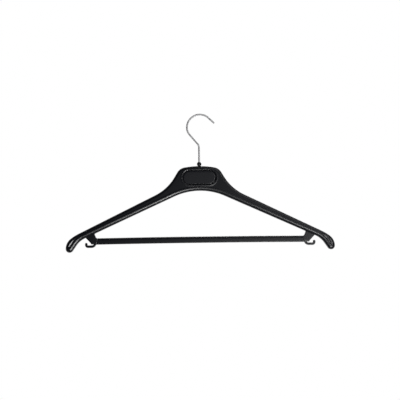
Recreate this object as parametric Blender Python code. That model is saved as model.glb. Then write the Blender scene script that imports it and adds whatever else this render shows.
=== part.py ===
"""Plastic clothes hanger: a black moulding with a trouser bar and skirt hooks, a bush pressed into
its neck, a wire hook that swivels in the bush, and a blank label plate that closes the bush's seat.

Metres, +Z up, front towards -Y. The origin is the place on the hook that rests on a rail, on the
axis that the hanger turns about. Run with: blender --background --python part.py
"""

import math

import bmesh
import bpy
import numpy as np

MM = 0.001

# Outline of the moulding from the front, traced from the middle of its top edge out to a tip
HALF_SPAN = 225.0 * MM  # swivel axis to the outermost point of a shoulder
CROWN_RADIUS = 145.0 * MM
CROWN_TURN = math.radians(10.0)
CORNER_RADIUS = 17.0 * MM
FLARE_ANGLE = math.radians(58.9)  # how steeply the neck's sides fall
FLARE_LENGTH = 9.2 * MM
FLARE_RADIUS = 78.0 * MM
ARM_ANGLE = math.radians(25.9)
SHOULDER_RADIUS = 75.0 * MM
SHOULDER_TURN = math.radians(12.5)
END_RADIUS = 21.0 * MM
TIP_RADIUS = 6.4 * MM
TIP_LEAN = math.radians(55.2)  # how steeply the inner side of a tip falls

# Lower edge of the arms
UNDER_ANGLE = math.radians(24.3)
ARM_END_HEIGHT = 11.53 * MM  # across the arm, where its straight top edge ends
ARCH_RADIUS = 102.5 * MM
UNDER_RADIUS = 34.0 * MM

# Section of the arms: a round shoulder, a flat face, a bead along the lower edge, and between
# them a groove that deepens into a scoop at the tips
BODY_DEPTH = 14.0 * MM
WALL = 2.0 * MM
SKIN = 2.0 * MM
SHOULDER_WIDTH = 4.6 * MM
SHOULDER_DROP = 5.0 * MM
BEAD_WIDTH = 5.4 * MM  # lower edge to the bead's crest
BEAD_DROP = 4.6 * MM
BEAD_FALL = 0.8 * MM  # added to that drop by the tips
FACE_SINK = 0.5 * MM  # the flat face lies this far behind the crest
GROOVE_WIDTH = 2.4 * MM  # crest to the groove's bottom, and as much again to the face
GROOVE_DEPTH = 1.2 * MM  # below the face at the tips
GROOVE_SHARES = (0.5, 1.0, 1.5, 2.0)  # of the groove's width, where its points lie beyond the bead

# Zigzag ribs in the open back of each arm
RIB_COUNT = 7
RIB_THICKNESS = 1.4 * MM
RIB_SINK = 2.5 * MM  # behind the rim
RIB_GAP = 3.2 * MM  # between the feet of neighbouring ribs
RIB_START_SHARE = 0.33  # of the length of the top edge
RIB_END_SHARE = 0.88

# Trouser bar
BAR_HEIGHT = 10.6 * MM
BAR_FRONT = 4.2 * MM  # in front of the swivel axis
BAR_DEPTH = 8.2 * MM
BAR_WALL = 1.8 * MM
BAR_TOP_ROUND = 2.6 * MM
BAR_FOOT_ROUND = 1.2 * MM
BAR_BOW = 0.8 * MM
BAR_RIB_COUNT = 7

# Links that carry the bar from the arms
LINK_INSET = 33.7 * MM  # outermost point of a shoulder to the link's outer top corner
LINK_TOP_WIDTH = 14.7 * MM
LINK_FOOT_WIDTH = 8.8 * MM
LINK_LEAN = 3.0 * MM  # the inner edge runs in by this much on its way down
LINK_HEIGHT = 7.4 * MM  # arm to the bar's top, at the inner edge
LINK_PROUD = 0.3 * MM  # link's face in front of the bar's face
LINK_CORNER = 1.6 * MM  # radius between the arm and the link's inner edge
LINK_FILLET = 3.0 * MM  # radius between the link's inner edge and the bar
LINK_EDGE = 0.9 * MM
LINK_STEP = 1.9 * MM  # foot of the outer edge above the bar's lower edge

# Skirt hooks below the ends of the bar
SKIRT_WIDTH = 4.2 * MM
SKIRT_DEPTH = 5.0 * MM
SKIRT_DROP = 3.2 * MM  # bar's lower edge to the middle of the hook's floor
SKIRT_REACH = 5.3 * MM  # foot of the link to the start of the tip's bend
SKIRT_FLOOR = 6.2 * MM
SKIRT_ROOT_INSIDE = 3.9 * MM  # radius inside the bend at the root
SKIRT_ROOT_TURN = math.radians(62.0)
SKIRT_TIP_INSIDE = 0.8 * MM  # radius inside the bend at the tip
SKIRT_TIP_RISE = 1.4 * MM
SKIRT_EDGE = 0.6 * MM

# Wire hook, bent in one plane
WIRE_DIAMETER = 3.0 * MM
SHAFT_RISE = 31.4 * MM  # top of the moulding to the first bend
NECK_RADIUS = 8.8 * MM
NECK_TURN = math.radians(40.7)
NECK_LENGTH = 19.9 * MM
BACK_RADIUS = 18.8 * MM
BACK_TURN = math.radians(44.9)
RAIL_RADIUS = 21.8 * MM
RAIL_TURN = math.radians(113.0)
LIP_RADIUS = 12.8 * MM
LIP_TURN = math.radians(15.5)
LIP_LENGTH = 15.3 * MM
WIRE_END_ROUND = 0.5 * MM
HEAD_RIM = 0.7 * MM  # upset head at the foot of the wire, proud of the wire
HEAD_HEIGHT = 1.2 * MM

# Bush round the foot of the wire: a ball above, a sleeve, a flange in the seat, and a tongue that
# fills the slot in front of the sleeve
SWIVEL_GAP = 0.2 * MM  # wire to the bush that it turns in
SLEEVE_WALL = 0.5 * MM
BALL_RADIUS = 3.8 * MM
BALL_FOOT_RIM = 0.1 * MM  # the ball's flat foot, proud of the sleeve
FLANGE_RIM = 1.2 * MM
FLANGE_FLOOR = 0.9 * MM
FLANGE_ROOF = 0.5 * MM
BUSH_EDGE = 0.3 * MM
BUSH_GAP = 0.3 * MM  # bush to its seat
TONGUE_SINK = 0.1 * MM  # tongue's face behind the moulding's

# The bush's seat in the moulding, open to the front above the label plate
SNAP = 0.2 * MM  # each lip of the slot closes over the sleeve by this much
SEAT_ROOF = 8.4 * MM  # below the top of the moulding
SEAT_GAP = 0.5 * MM
SEAT_SPARE = 1.6 * MM  # below the flange
SEAT_WALL = 1.5 * MM

# Label recess and its plate
RECESS_WIDTH = 56.2 * MM
RECESS_HEIGHT = 23.8 * MM
RECESS_DROP = 7.0 * MM  # top of the moulding to the recess
LABEL_SINK = 2.1 * MM  # plate's face behind the moulding's face
PLATE_THICKNESS = 1.5 * MM
PLATE_GAP = 0.5 * MM  # above and below the plate
PLATE_END_GAP = 0.8 * MM
PLATE_SEAT_GAP = 0.3 * MM
CROWN_WIDTH = 2.2 * MM  # rounded border of the plate, at its ends
CROWN_SHIFT = 1.4 * MM  # wider than that above the plate's flat face, and narrower below
CROWN_DEPTH = 1.1 * MM
RECESS_FLOOR = 1.6 * MM
PEG_RADIUS = 1.5 * MM
PEG_STAND = 1.2 * MM  # behind the recess's floor
PEG_GAP = 0.3 * MM
PEG_PLACE_SHARE = 0.7  # of the plate's half width

# How finely curves are cut
ARC_STEP = math.radians(1.5)
SKIRT_STEP = math.radians(15.0)
WIRE_STEP = math.radians(6.0)
STATIONS = (13, 6, 8, 5)  # along the neck, the arm, the shoulder and the tip
SHOULDER_POINTS = 5
BEAD_POINTS = 4
RIB_POINTS = 6
BAR_STATIONS = 12
ROUND_POINTS = 4
WIRE_SIDES = 16
BUSH_SIDES = 32
BALL_RINGS = 12
RECESS_END_POINTS = 24  # round each end of the recess
CROWN_POINTS = 5
PEG_SIDES = 16
CAP_POINTS = 8
OVERRUN = 4.0 * MM  # how far a cutter runs past what it cuts
MERGE = 0.001 * MM

WIRE_RADIUS = WIRE_DIAMETER / 2
HEAD_RADIUS = WIRE_RADIUS + HEAD_RIM
BORE_RADIUS = WIRE_RADIUS + SWIVEL_GAP
SLEEVE_RADIUS = BORE_RADIUS + SLEEVE_WALL
SLOT_HALF = SLEEVE_RADIUS - SNAP
FLANGE_RADIUS = SLEEVE_RADIUS + FLANGE_RIM
FLANGE_HEIGHT = FLANGE_FLOOR + HEAD_HEIGHT + 2 * SWIVEL_GAP + FLANGE_ROOF
SEAT_RADIUS = FLANGE_RADIUS + SEAT_GAP
SEAT_FLOOR = SEAT_ROOF + BUSH_GAP + FLANGE_HEIGHT + SEAT_SPARE
BODY_FRONT = FACE_SINK + LABEL_SINK + PLATE_THICKNESS + SEAT_GAP + FLANGE_RADIUS
BODY_BACK = BODY_DEPTH - BODY_FRONT
FACE_Y = FACE_SINK - BODY_FRONT
PLATE_FRONT_Y = FACE_Y + LABEL_SINK
PLATE_BACK_Y = PLATE_FRONT_Y + PLATE_THICKNESS
RECESS_FLOOR_Y = PLATE_BACK_Y + PLATE_SEAT_GAP
RECESS_BACK_Y = RECESS_FLOOR_Y + RECESS_FLOOR
RECESS_Z = -RECESS_DROP - RECESS_HEIGHT / 2
BAR_BACK = BAR_DEPTH - BAR_FRONT


def clear_scene():
    for obj in list(bpy.data.objects):
        bpy.data.objects.remove(obj)


def make_material(name, colour, roughness, metallic):
    material = bpy.data.materials.new(name)
    material.use_nodes = True
    shader = material.node_tree.nodes["Principled BSDF"]
    shader.inputs["Base Color"].default_value = (*colour, 1.0)
    shader.inputs["Roughness"].default_value = roughness
    shader.inputs["Metallic"].default_value = metallic
    return material


def loft(name, rings, parent):
    """A solid through rings of (x, y, z) points, with a face over its first and its last ring."""
    bm = bmesh.new()
    loops = [[bm.verts.new(point) for point in ring] for ring in rings]
    for first, second in zip(loops, loops[1:]):
        for i in range(len(first)):
            j = (i + 1) % len(first)
            bm.faces.new((first[i], first[j], second[j], second[i]))
    bm.faces.new(loops[0][::-1])
    bm.faces.new(loops[-1])
    bmesh.ops.remove_doubles(bm, verts=bm.verts, dist=MERGE)
    bmesh.ops.recalc_face_normals(bm, faces=bm.faces)
    mesh = bpy.data.meshes.new(name)
    bm.to_mesh(mesh)
    bm.free()
    obj = bpy.data.objects.new(name, mesh)
    bpy.context.scene.collection.objects.link(obj)
    obj.parent = parent
    return obj


def prism(name, outline, front, back, parent):
    """An outline of (x, z) points, carried from front to back along Y."""
    return loft(name, [[(x, y, z) for x, z in outline] for y in (front, back)], parent)


def combine(target, name, operation, helpers):
    """One Boolean of target with all the helpers, which only guide it from then on.

    The thin faces along the rim leave open edges under the exact solver, so this uses the other.
    """
    group = bpy.data.collections.new(name)
    bpy.context.scene.collection.children.link(group)
    for helper in helpers:
        bpy.context.scene.collection.objects.unlink(helper)
        group.objects.link(helper)
        helper.modifiers.new("triangles", "TRIANGULATE")
        helper.hide_render = True
        helper.display_type = "WIRE"
    modifier = target.modifiers.new(name, "BOOLEAN")
    modifier.operation = operation
    modifier.solver = "MANIFOLD"
    modifier.operand_type = "COLLECTION"
    modifier.collection = group


def round_edges(obj, width):
    modifier = obj.modifiers.new("rounded edges", "BEVEL")
    modifier.width = width
    modifier.segments = 2
    modifier.limit_method = "ANGLE"


def finish(obj, material):
    obj.data.materials.append(material)
    obj.data.shade_smooth()
    obj.data.set_sharp_from_angle(angle=math.radians(35))


def mirrored(points, side):
    return [(side * x, z) for x, z in points]


def circle(radius, count, centre=(0, 0)):
    turns = [2 * math.pi * i / count for i in range(count)]
    return [(centre[0] + radius * math.cos(a), centre[1] + radius * math.sin(a)) for a in turns]


def direction(heading):
    return np.array([math.cos(heading), math.sin(heading)])


def trace(start, heading, runs, step):
    """Points along runs of (length, 0) for a line and (radius, turn) for an arc, as (x, z).

    A turn is an angle, positive to the left. Also gives the length from the start to each run's
    end.
    """
    points = [np.array(start, float)]
    ends = []
    length = 0
    for size, turn in runs:
        count = max(1, math.ceil(abs(turn) / step))
        chord = 2 * size * math.sin(abs(turn) / count / 2) if turn else size
        for _ in range(count):
            heading += turn / count / 2
            points.append(points[-1] + chord * direction(heading))
            heading += turn / count / 2
            length += chord
        ends.append(length)
    return np.array(points), ends


def at_length(points, length):
    along = np.append(0, np.cumsum(np.linalg.norm(np.diff(points, axis=0), axis=1)))
    return np.array([np.interp(length, along, points[:, 0]), np.interp(length, along, points[:, 1])])


def edge_distance(points, x, z):
    """How far (x, z) lies from a line of points on the right half, or from its mirror image."""
    place = np.array([abs(x), z])
    start = points[:-1]
    run = np.diff(points, axis=0)
    share = np.clip(((place - start) * run).sum(1) / (run * run).sum(1), 0, 1)
    return float(np.linalg.norm(start + run * share[:, None] - place, axis=1).min())


def trace_top():
    """Top edge of the right half to the middle of its tip, with the ends of its four spans."""
    neck = [
        (CROWN_RADIUS, -CROWN_TURN),
        (CORNER_RADIUS, CROWN_TURN - FLARE_ANGLE),
        (FLARE_LENGTH, 0),
        (FLARE_RADIUS, FLARE_ANGLE - ARM_ANGLE),
    ]
    shoulder = [
        (SHOULDER_RADIUS, -SHOULDER_TURN),
        (END_RADIUS, ARM_ANGLE + SHOULDER_TURN - math.pi / 2),
    ]
    neck_reach = trace((0, 0), 0, neck, ARC_STEP)[0][-1][0]
    shoulder_reach = trace((0, 0), -ARM_ANGLE, shoulder, ARC_STEP)[0][-1][0]
    arm = [((HALF_SPAN - neck_reach - shoulder_reach) / math.cos(ARM_ANGLE), 0)]
    tip = [(TIP_RADIUS, -(math.pi / 2 + TIP_LEAN) / 2)]
    points, ends = trace((0, 0), 0, neck + arm + shoulder + tip, ARC_STEP)
    return points, [0, ends[3], ends[4], ends[6], ends[7]]


def trace_low(top, top_spans):
    """Lower edge of the right half to the middle of its tip, with the ends of its four spans."""
    along = direction(-UNDER_ANGLE)
    inward = direction(-UNDER_ANGLE - math.pi / 2)
    on_line = at_length(top, top_spans[2]) + ARM_END_HEIGHT * inward
    tip_line = direction(-TIP_LEAN)
    tip_centre = at_length(top, top_spans[3]) - np.array([TIP_RADIUS, 0])
    tip_start = tip_centre + TIP_RADIUS * direction(-TIP_LEAN - math.pi / 2)
    reach = np.linalg.solve(np.column_stack((along, -tip_line)), tip_start - on_line)
    corner = on_line + reach[0] * along
    half_turn = (TIP_LEAN - UNDER_ANGLE) / 2
    radius = min(UNDER_RADIUS, -reach[1] / math.tan(half_turn))
    setback = radius * math.tan(half_turn)
    arch_end = ARCH_RADIUS * math.sin(UNDER_ANGLE)
    line_height = on_line[1] + on_line[0] * math.tan(UNDER_ANGLE)
    middle = line_height - ARCH_RADIUS * (1 / math.cos(UNDER_ANGLE) - 1)
    runs = [
        (ARCH_RADIUS, -UNDER_ANGLE),
        ((corner[0] - arch_end) / math.cos(UNDER_ANGLE) - setback, 0),
        (radius, -2 * half_turn),
        (max(-reach[1] - setback, MERGE), 0),
        (TIP_RADIUS, (math.pi / 2 + TIP_LEAN) / 2),
    ]
    points, ends = trace((0, middle), 0, runs, ARC_STEP)
    line_start = at_length(points, ends[0])
    foot = [ends[0] + float((at_length(top, top_spans[i]) - line_start) @ along) for i in (1, 2)]
    return points, [0, foot[0], min(foot[1], ends[1]), ends[3], ends[4]]


TOP, TOP_SPANS = trace_top()
LOW, LOW_SPANS = trace_low(TOP, TOP_SPANS)


def low_edge(x):
    """Height of the arm's lower edge at x."""
    return float(np.interp(x, LOW[:, 0], LOW[:, 1]))


def round_off(share):
    """Drop of a rounded edge, from 1 at the edge itself to 0 where the rounding ends."""
    return 1 - math.sqrt(1 - (1 - share) ** 2) if share < 1 else 0


def ramp(share):
    return (1 - math.cos(math.pi * min(share, 1))) / 2


def front_at(x, z):
    """Y of the moulding's front surface over the point (x, z)."""
    shoulder = round_off(edge_distance(TOP, x, z) / SHOULDER_WIDTH)
    low = edge_distance(LOW, x, z)
    reach = abs(x) / HALF_SPAN
    groove = FACE_SINK + GROOVE_DEPTH * reach**10
    if low < BEAD_WIDTH:
        sink = (BEAD_DROP + BEAD_FALL * reach**4) * round_off(low / BEAD_WIDTH)
    elif low < BEAD_WIDTH + GROOVE_WIDTH:
        sink = groove * ramp((low - BEAD_WIDTH) / GROOVE_WIDTH)
    else:
        sink = groove + (FACE_SINK - groove) * ramp((low - BEAD_WIDTH) / GROOVE_WIDTH - 1)
    return -BODY_FRONT + SHOULDER_DROP * shoulder + sink * (1 - shoulder)


def edge_points(inset, spans):
    """Facing (x, z) points of the top and the lower edge, each inset into the moulding."""
    pairs = []
    for span in range(spans):
        for step in range(STATIONS[span] + (span == spans - 1)):
            share = step / STATIONS[span]
            pair = []
            for points, ends, side in ((TOP, TOP_SPANS, -1), (LOW, LOW_SPANS, 1)):
                length = ends[span] + share * (ends[span + 1] - ends[span])
                run = at_length(points, length + MERGE) - at_length(points, length - MERGE)
                run /= np.linalg.norm(run)
                pair.append(at_length(points, length) + inset * side * np.array([-run[1], run[0]]))
            pairs.append(pair)
    for point in pairs[0]:
        point[0] = 0
    return pairs


def section(pair, inset, depth, back):
    """A ring across the arm: its front surface moved in by depth, and its back at Y back."""
    top, low = pair
    width = float(np.linalg.norm(low - top))
    shoulder = SHOULDER_WIDTH - inset
    bead = BEAD_WIDTH - inset
    turns = [math.pi / 2 * i / (SHOULDER_POINTS - 1) for i in range(SHOULDER_POINTS)]
    from_top = [shoulder * (1 - math.cos(turn)) for turn in turns]
    turns = [math.pi / 2 * i / (BEAD_POINTS - 1) for i in range(BEAD_POINTS)]
    from_low = [bead * (1 - math.cos(turn)) for turn in turns]
    from_low += [bead + GROOVE_WIDTH * share for share in GROOVE_SHARES]
    scale = min(1, width / (from_top[-1] + from_low[-1] + MERGE))
    shares = [scale * place / max(width, MERGE) for place in from_top]
    shares += [1 - scale * place / max(width, MERGE) for place in reversed(from_low)]
    across = [top + (low - top) * share for share in shares]
    ring = [(x, front_at(x, z) + depth, z) for x, z in across]
    return ring + [(low[0], back, low[1]), (top[0], back, top[1])]


def both_sides(rings):
    """Rings of the right half, in order from its middle, joined to their mirror images."""
    left = [[(-x, y, z) for x, y, z in ring] for ring in rings[:0:-1]]
    return left + rings


def make_arms(parent):
    """The moulding's arms as one full block."""
    rings = [section(pair, 0, 0, BODY_BACK) for pair in edge_points(0, 4)]
    return loft("hanger_body", both_sides(rings), parent)


def make_arm_core(parent):
    """What is hollow behind the front skin and inside the walls."""
    back = BODY_BACK + OVERRUN
    rings = [section(pair, WALL, SKIN, back) for pair in edge_points(WALL, 3)]
    return loft("arm core", both_sides(rings), parent)


def make_rib(name, start, end, side, parent):
    """A rib behind the front skin, from one wall's middle to the other's."""
    along = (end - start) / np.linalg.norm(end - start)
    across = np.array([-along[1], along[0]]) * RIB_THICKNESS / 2
    back = BODY_BACK - RIB_SINK
    rings = []
    for i in range(RIB_POINTS):
        middle = start + (end - start) * i / (RIB_POINTS - 1)
        front = front_at(*middle) + SKIN / 2
        right, left = middle - across, middle + across
        ring = [(right, front), (left, front), (left, back), (right, back)]
        rings.append([(side * place[0], y, place[1]) for place, y in ring])
    return loft(name, rings, parent)


def make_arm_ribs(parent):
    ribs = []
    start = RIB_START_SHARE * TOP_SPANS[3]
    pitch = (RIB_END_SHARE - RIB_START_SHARE) * TOP_SPANS[3] / RIB_COUNT
    scale = LOW_SPANS[3] / TOP_SPANS[3]
    for i in range(RIB_COUNT):
        first = start + i * pitch + RIB_GAP / 2
        last = start + (i + 1) * pitch - RIB_GAP / 2
        ends = (first, last) if i % 2 else (last, first)
        top = at_length(TOP, ends[0])
        low = at_length(LOW, ends[1] * scale)
        inward = (low - top) / np.linalg.norm(low - top) * WALL / 2
        for side in (1, -1):
            ribs.append(make_rib(f"arm rib {i} {side}", top + inward, low - inward, side, parent))
    return ribs


LINK_OUTER_TOP = HALF_SPAN - LINK_INSET
LINK_INNER_TOP = LINK_OUTER_TOP - LINK_TOP_WIDTH
LINK_INNER_FOOT = LINK_INNER_TOP - LINK_LEAN
LINK_OUTER_FOOT = LINK_INNER_FOOT + LINK_FOOT_WIDTH
BAR_END_TOP = low_edge(LINK_INNER_TOP) - LINK_HEIGHT
BAR_END_FOOT = BAR_END_TOP - BAR_HEIGHT
BAR_HALF = LINK_INNER_FOOT + BAR_WALL
LINK_FRONT = BAR_FRONT + LINK_PROUD


def bar_lift(x):
    return BAR_BOW * (1 - (x / LINK_INNER_FOOT) ** 2) if abs(x) < LINK_INNER_FOOT else 0


def bar_rings(half_length, outline):
    """Rings of a (y, z) outline along the bar, which bows up at its middle."""
    places = [half_length * (2 * i / BAR_STATIONS - 1) for i in range(BAR_STATIONS + 1)]
    return [[(x, y, BAR_END_TOP + bar_lift(x) + z) for y, z in outline] for x in places]


def make_bar(parent):
    turns = [math.pi / 2 * i / ROUND_POINTS for i in range(ROUND_POINTS + 1)]
    outline = [(BAR_BACK, -BAR_HEIGHT), (BAR_BACK, 0)]
    centre = (BAR_TOP_ROUND - BAR_FRONT, -BAR_TOP_ROUND)
    for turn in turns:
        y = centre[0] - BAR_TOP_ROUND * math.sin(turn)
        outline.append((y, centre[1] + BAR_TOP_ROUND * math.cos(turn)))
    centre = (BAR_FOOT_ROUND - BAR_FRONT, BAR_FOOT_ROUND - BAR_HEIGHT)
    for turn in turns:
        y = centre[0] - BAR_FOOT_ROUND * math.cos(turn)
        outline.append((y, centre[1] - BAR_FOOT_ROUND * math.sin(turn)))
    return loft("bar", bar_rings(BAR_HALF, outline), parent)


def make_bar_core(parent):
    front, back = BAR_WALL - BAR_FRONT, BAR_BACK + OVERRUN
    top, foot = -BAR_WALL, BAR_WALL - BAR_HEIGHT
    outline = [(back, foot), (back, top), (front, top), (front, foot)]
    return loft("bar core", bar_rings(LINK_INNER_FOOT - BAR_WALL, outline), parent)


def make_bar_ribs(parent):
    """Cross ribs, from the middle of the bar's top wall to the middle of its lower wall."""
    ribs = []
    pitch = 2 * LINK_INNER_FOOT / (BAR_RIB_COUNT + 1)
    for i in range(BAR_RIB_COUNT):
        x = (i + 1) * pitch - LINK_INNER_FOOT
        top = BAR_END_TOP + bar_lift(x) - BAR_WALL / 2
        low = BAR_END_FOOT + bar_lift(x) + BAR_WALL / 2
        left, right = x - RIB_THICKNESS / 2, x + RIB_THICKNESS / 2
        outline = [(left, low), (right, low), (right, top), (left, top)]
        front = BAR_WALL / 2 - BAR_FRONT
        ribs.append(prism(f"bar rib {i}", outline, front, BAR_BACK - RIB_SINK / 2, parent))
    return ribs


def fillet(before, corner, after, radius):
    """Points of an arc that rounds the corner of an outline."""
    to_before = (before - corner) / np.linalg.norm(before - corner)
    to_after = (after - corner) / np.linalg.norm(after - corner)
    half = math.acos(float(to_before @ to_after)) / 2
    middle = (to_before + to_after) / np.linalg.norm(to_before + to_after)
    centre = corner + middle * radius / math.sin(half)
    start = corner + to_before * radius / math.tan(half) - centre
    across = corner + to_after * radius / math.tan(half) - centre
    turn = math.pi - 2 * half
    side = across - start * math.cos(turn)
    arc = []
    for i in range(ROUND_POINTS + 1):
        share = turn * i / ROUND_POINTS
        arc.append(centre + start * math.cos(share) + side * math.sin(share) / math.sin(turn))
    return arc


def inset_outline(outline, distance):
    """A convex outline, drawn anticlockwise, with each side moved in by distance."""
    moved = []
    for i, point in enumerate(outline):
        lines = []
        for start, end in ((outline[i - 1], point), (point, outline[(i + 1) % len(outline)])):
            along = (end - start) / np.linalg.norm(end - start)
            lines.append((start + distance * np.array([-along[1], along[0]]), along))
        (first, along_first), (second, along_second) = lines
        reach = np.linalg.solve(np.column_stack((along_first, -along_second)), second - first)
        moved.append(first + reach[0] * along_first)
    return moved


def link_corners():
    """Corners of the link on the right: its inner side from the top down, then its outer side."""
    inner_top = np.array([LINK_INNER_TOP, low_edge(LINK_INNER_TOP)])
    inner_foot = np.array([LINK_INNER_FOOT, BAR_END_TOP])
    outer_foot = np.array([LINK_OUTER_FOOT, BAR_END_FOOT + LINK_STEP])
    outer_top = np.array([LINK_OUTER_TOP, low_edge(LINK_OUTER_TOP)])
    return inner_top, inner_foot, outer_foot, outer_top


def make_link(side, parent):
    inner_top, inner_foot, outer_foot, outer_top = link_corners()
    beside = LINK_INNER_TOP - LINK_TOP_WIDTH
    arm_side = np.array([beside, low_edge(beside)])
    bar_side = inner_foot - np.array([LINK_FOOT_WIDTH, 0])
    upper = fillet(arm_side, inner_top, inner_foot, LINK_CORNER)
    lower = fillet(inner_top, inner_foot, bar_side, LINK_FILLET)
    root = np.array([0, BEAD_WIDTH])
    lean = (outer_top - outer_foot) / np.linalg.norm(outer_top - outer_foot)
    outline = [
        upper[0] + root,
        *upper,
        *lower,
        lower[-1] - np.array([0, BAR_HEIGHT / 2]),
        np.array([LINK_INNER_FOOT, BAR_END_FOOT + BAR_FOOT_ROUND / 2]),
        np.array([LINK_OUTER_FOOT, BAR_END_FOOT + BAR_FOOT_ROUND / 2]),
        outer_foot,
        outer_top + lean * BEAD_WIDTH,
    ]
    link = prism(f"link {side}", mirrored(outline, side), -LINK_FRONT, BAR_BACK, parent)
    round_edges(link, LINK_EDGE)
    return link


def make_link_core(side, parent):
    inner_top, inner_foot, outer_foot, outer_top = link_corners()
    low_left = np.array([LINK_INNER_FOOT, BAR_END_FOOT])
    low_right = np.array([LINK_OUTER_FOOT - LINK_STEP, BAR_END_FOOT])
    outline = inset_outline([inner_top, inner_foot, low_left, low_right, outer_top], WALL)
    back = BAR_BACK + OVERRUN
    return prism(f"link core {side}", mirrored(outline, side), WALL - LINK_FRONT, back, parent)


def make_skirt_hook(side, parent):
    """A band bent up into a hook, with a round end."""
    half = SKIRT_WIDTH / 2
    middle = (LINK_OUTER_FOOT + SKIRT_REACH, BAR_END_FOOT - SKIRT_DROP)
    root = [(SKIRT_FLOOR, 0), (SKIRT_ROOT_INSIDE + half, -SKIRT_ROOT_TURN), (BAR_WALL, 0)]
    tip = [(SKIRT_TIP_INSIDE + half, math.pi / 2), (SKIRT_TIP_RISE, 0)]
    inward = trace(middle, math.pi, root, SKIRT_STEP)[0]
    outward = trace(middle, 0, tip, SKIRT_STEP)[0]
    line = np.concatenate((inward[:0:-1], outward))
    run = np.gradient(line, axis=0)
    normal = np.column_stack((-run[:, 1], run[:, 0])) / np.linalg.norm(run, axis=1)[:, None]
    inside, outside = line + half * normal, line - half * normal
    cap = [line[-1] + half * direction(math.pi * i / CAP_POINTS) for i in range(1, CAP_POINTS)]
    outline = [*outside, *cap, *inside[::-1]]
    front = -SKIRT_DEPTH / 2
    hook = prism(f"skirt hook {side}", mirrored(outline, side), front, -front, parent)
    round_edges(hook, SKIRT_EDGE)
    return hook


def recess_outline(half_width, half_height):
    """Straight along the top and the bottom, with a half circle at each end."""
    outline = []
    for side in (1, -1):
        for i in range(RECESS_END_POINTS + 1):
            turn = math.pi * (i / RECESS_END_POINTS - 1 / 2)
            x = half_width - half_height + half_height * math.cos(turn)
            outline.append((side * x, RECESS_Z + side * half_height * math.sin(turn)))
    return outline


def make_recess_back(parent):
    """The walls and the floor of the label recess, behind the front skin."""
    outline = recess_outline(RECESS_WIDTH / 2 + WALL, RECESS_HEIGHT / 2 + WALL)
    return prism("recess back", outline, FACE_Y + SKIN / 2, RECESS_BACK_Y, parent)


def make_recess_cut(parent):
    outline = recess_outline(RECESS_WIDTH / 2, RECESS_HEIGHT / 2)
    return prism("recess", outline, -BODY_FRONT - OVERRUN, RECESS_FLOOR_Y, parent)


def make_seat_block(parent):
    """The block behind the front skin that the bush sits in."""
    half = SEAT_RADIUS + SEAT_WALL
    front, back = FACE_Y + SKIN / 2, SEAT_RADIUS + SEAT_WALL
    top, low = -WALL / 2, -SEAT_FLOOR - SEAT_WALL
    slope = [(front, -SHOULDER_WIDTH), (front + SHOULDER_DROP / 2, top)]
    side = slope + [(back, top), (back, low), (front, low)]
    return loft("seat block", [[(x, y, z) for y, z in side] for x in (-half, half)], parent)


def make_seat_slot(parent):
    """Keyhole for the sleeve: a round bore with a narrower slot to the front."""
    bore = SLEEVE_RADIUS + BUSH_GAP
    start = math.acos(SLOT_HALF / bore)
    turns = [-start + (math.pi + 2 * start) * i / BUSH_SIDES for i in range(BUSH_SIDES + 1)]
    outline = [(bore * math.cos(turn), bore * math.sin(turn)) for turn in turns]
    front = -BODY_FRONT - OVERRUN
    outline += [(-SLOT_HALF, front), (SLOT_HALF, front)]
    levels = (-SEAT_ROOF - BUSH_GAP, OVERRUN)
    return loft("seat slot", [[(x, y, z) for x, y in outline] for z in levels], parent)


def make_seat_chamber(parent):
    """Room for the bush's flange, open to the recess and closed by the label plate."""
    x = SEAT_RADIUS
    outline = [(-x, -SEAT_FLOOR), (x, -SEAT_FLOOR), (x, -SEAT_ROOF), (-x, -SEAT_ROOF)]
    return prism("seat chamber", outline, PLATE_BACK_Y, SEAT_RADIUS, parent)


def peg_place(side):
    return side * PEG_PLACE_SHARE * (RECESS_WIDTH / 2 - PLATE_END_GAP), RECESS_Z


def make_peg_hole(side, parent):
    outline = circle(PEG_RADIUS + PEG_GAP, PEG_SIDES, peg_place(side))
    return prism(f"peg hole {side}", outline, PLATE_BACK_Y, RECESS_BACK_Y + OVERRUN, parent)


def make_hanger_body(parent, material):
    """The whole moulding: full blocks are joined, hollowed, given ribs and seats, then cut."""
    body = make_arms(parent)
    blocks = [make_bar(parent)]
    cores = [make_arm_core(parent), make_bar_core(parent)]
    for side in (1, -1):
        blocks += [make_link(side, parent), make_skirt_hook(side, parent)]
        cores.append(make_link_core(side, parent))
    ribs = make_arm_ribs(parent) + make_bar_ribs(parent)
    seats = [make_recess_back(parent), make_seat_block(parent)]
    cuts = [make_recess_cut(parent), make_seat_slot(parent), make_seat_chamber(parent)]
    cuts += [make_peg_hole(side, parent) for side in (1, -1)]
    body.modifiers.new("triangles", "TRIANGULATE")
    combine(body, "blocks", "UNION", blocks)
    combine(body, "hollows", "DIFFERENCE", cores)
    combine(body, "ribs and seats", "UNION", ribs + seats)
    combine(body, "cuts", "DIFFERENCE", cuts)
    finish(body, material)


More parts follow.
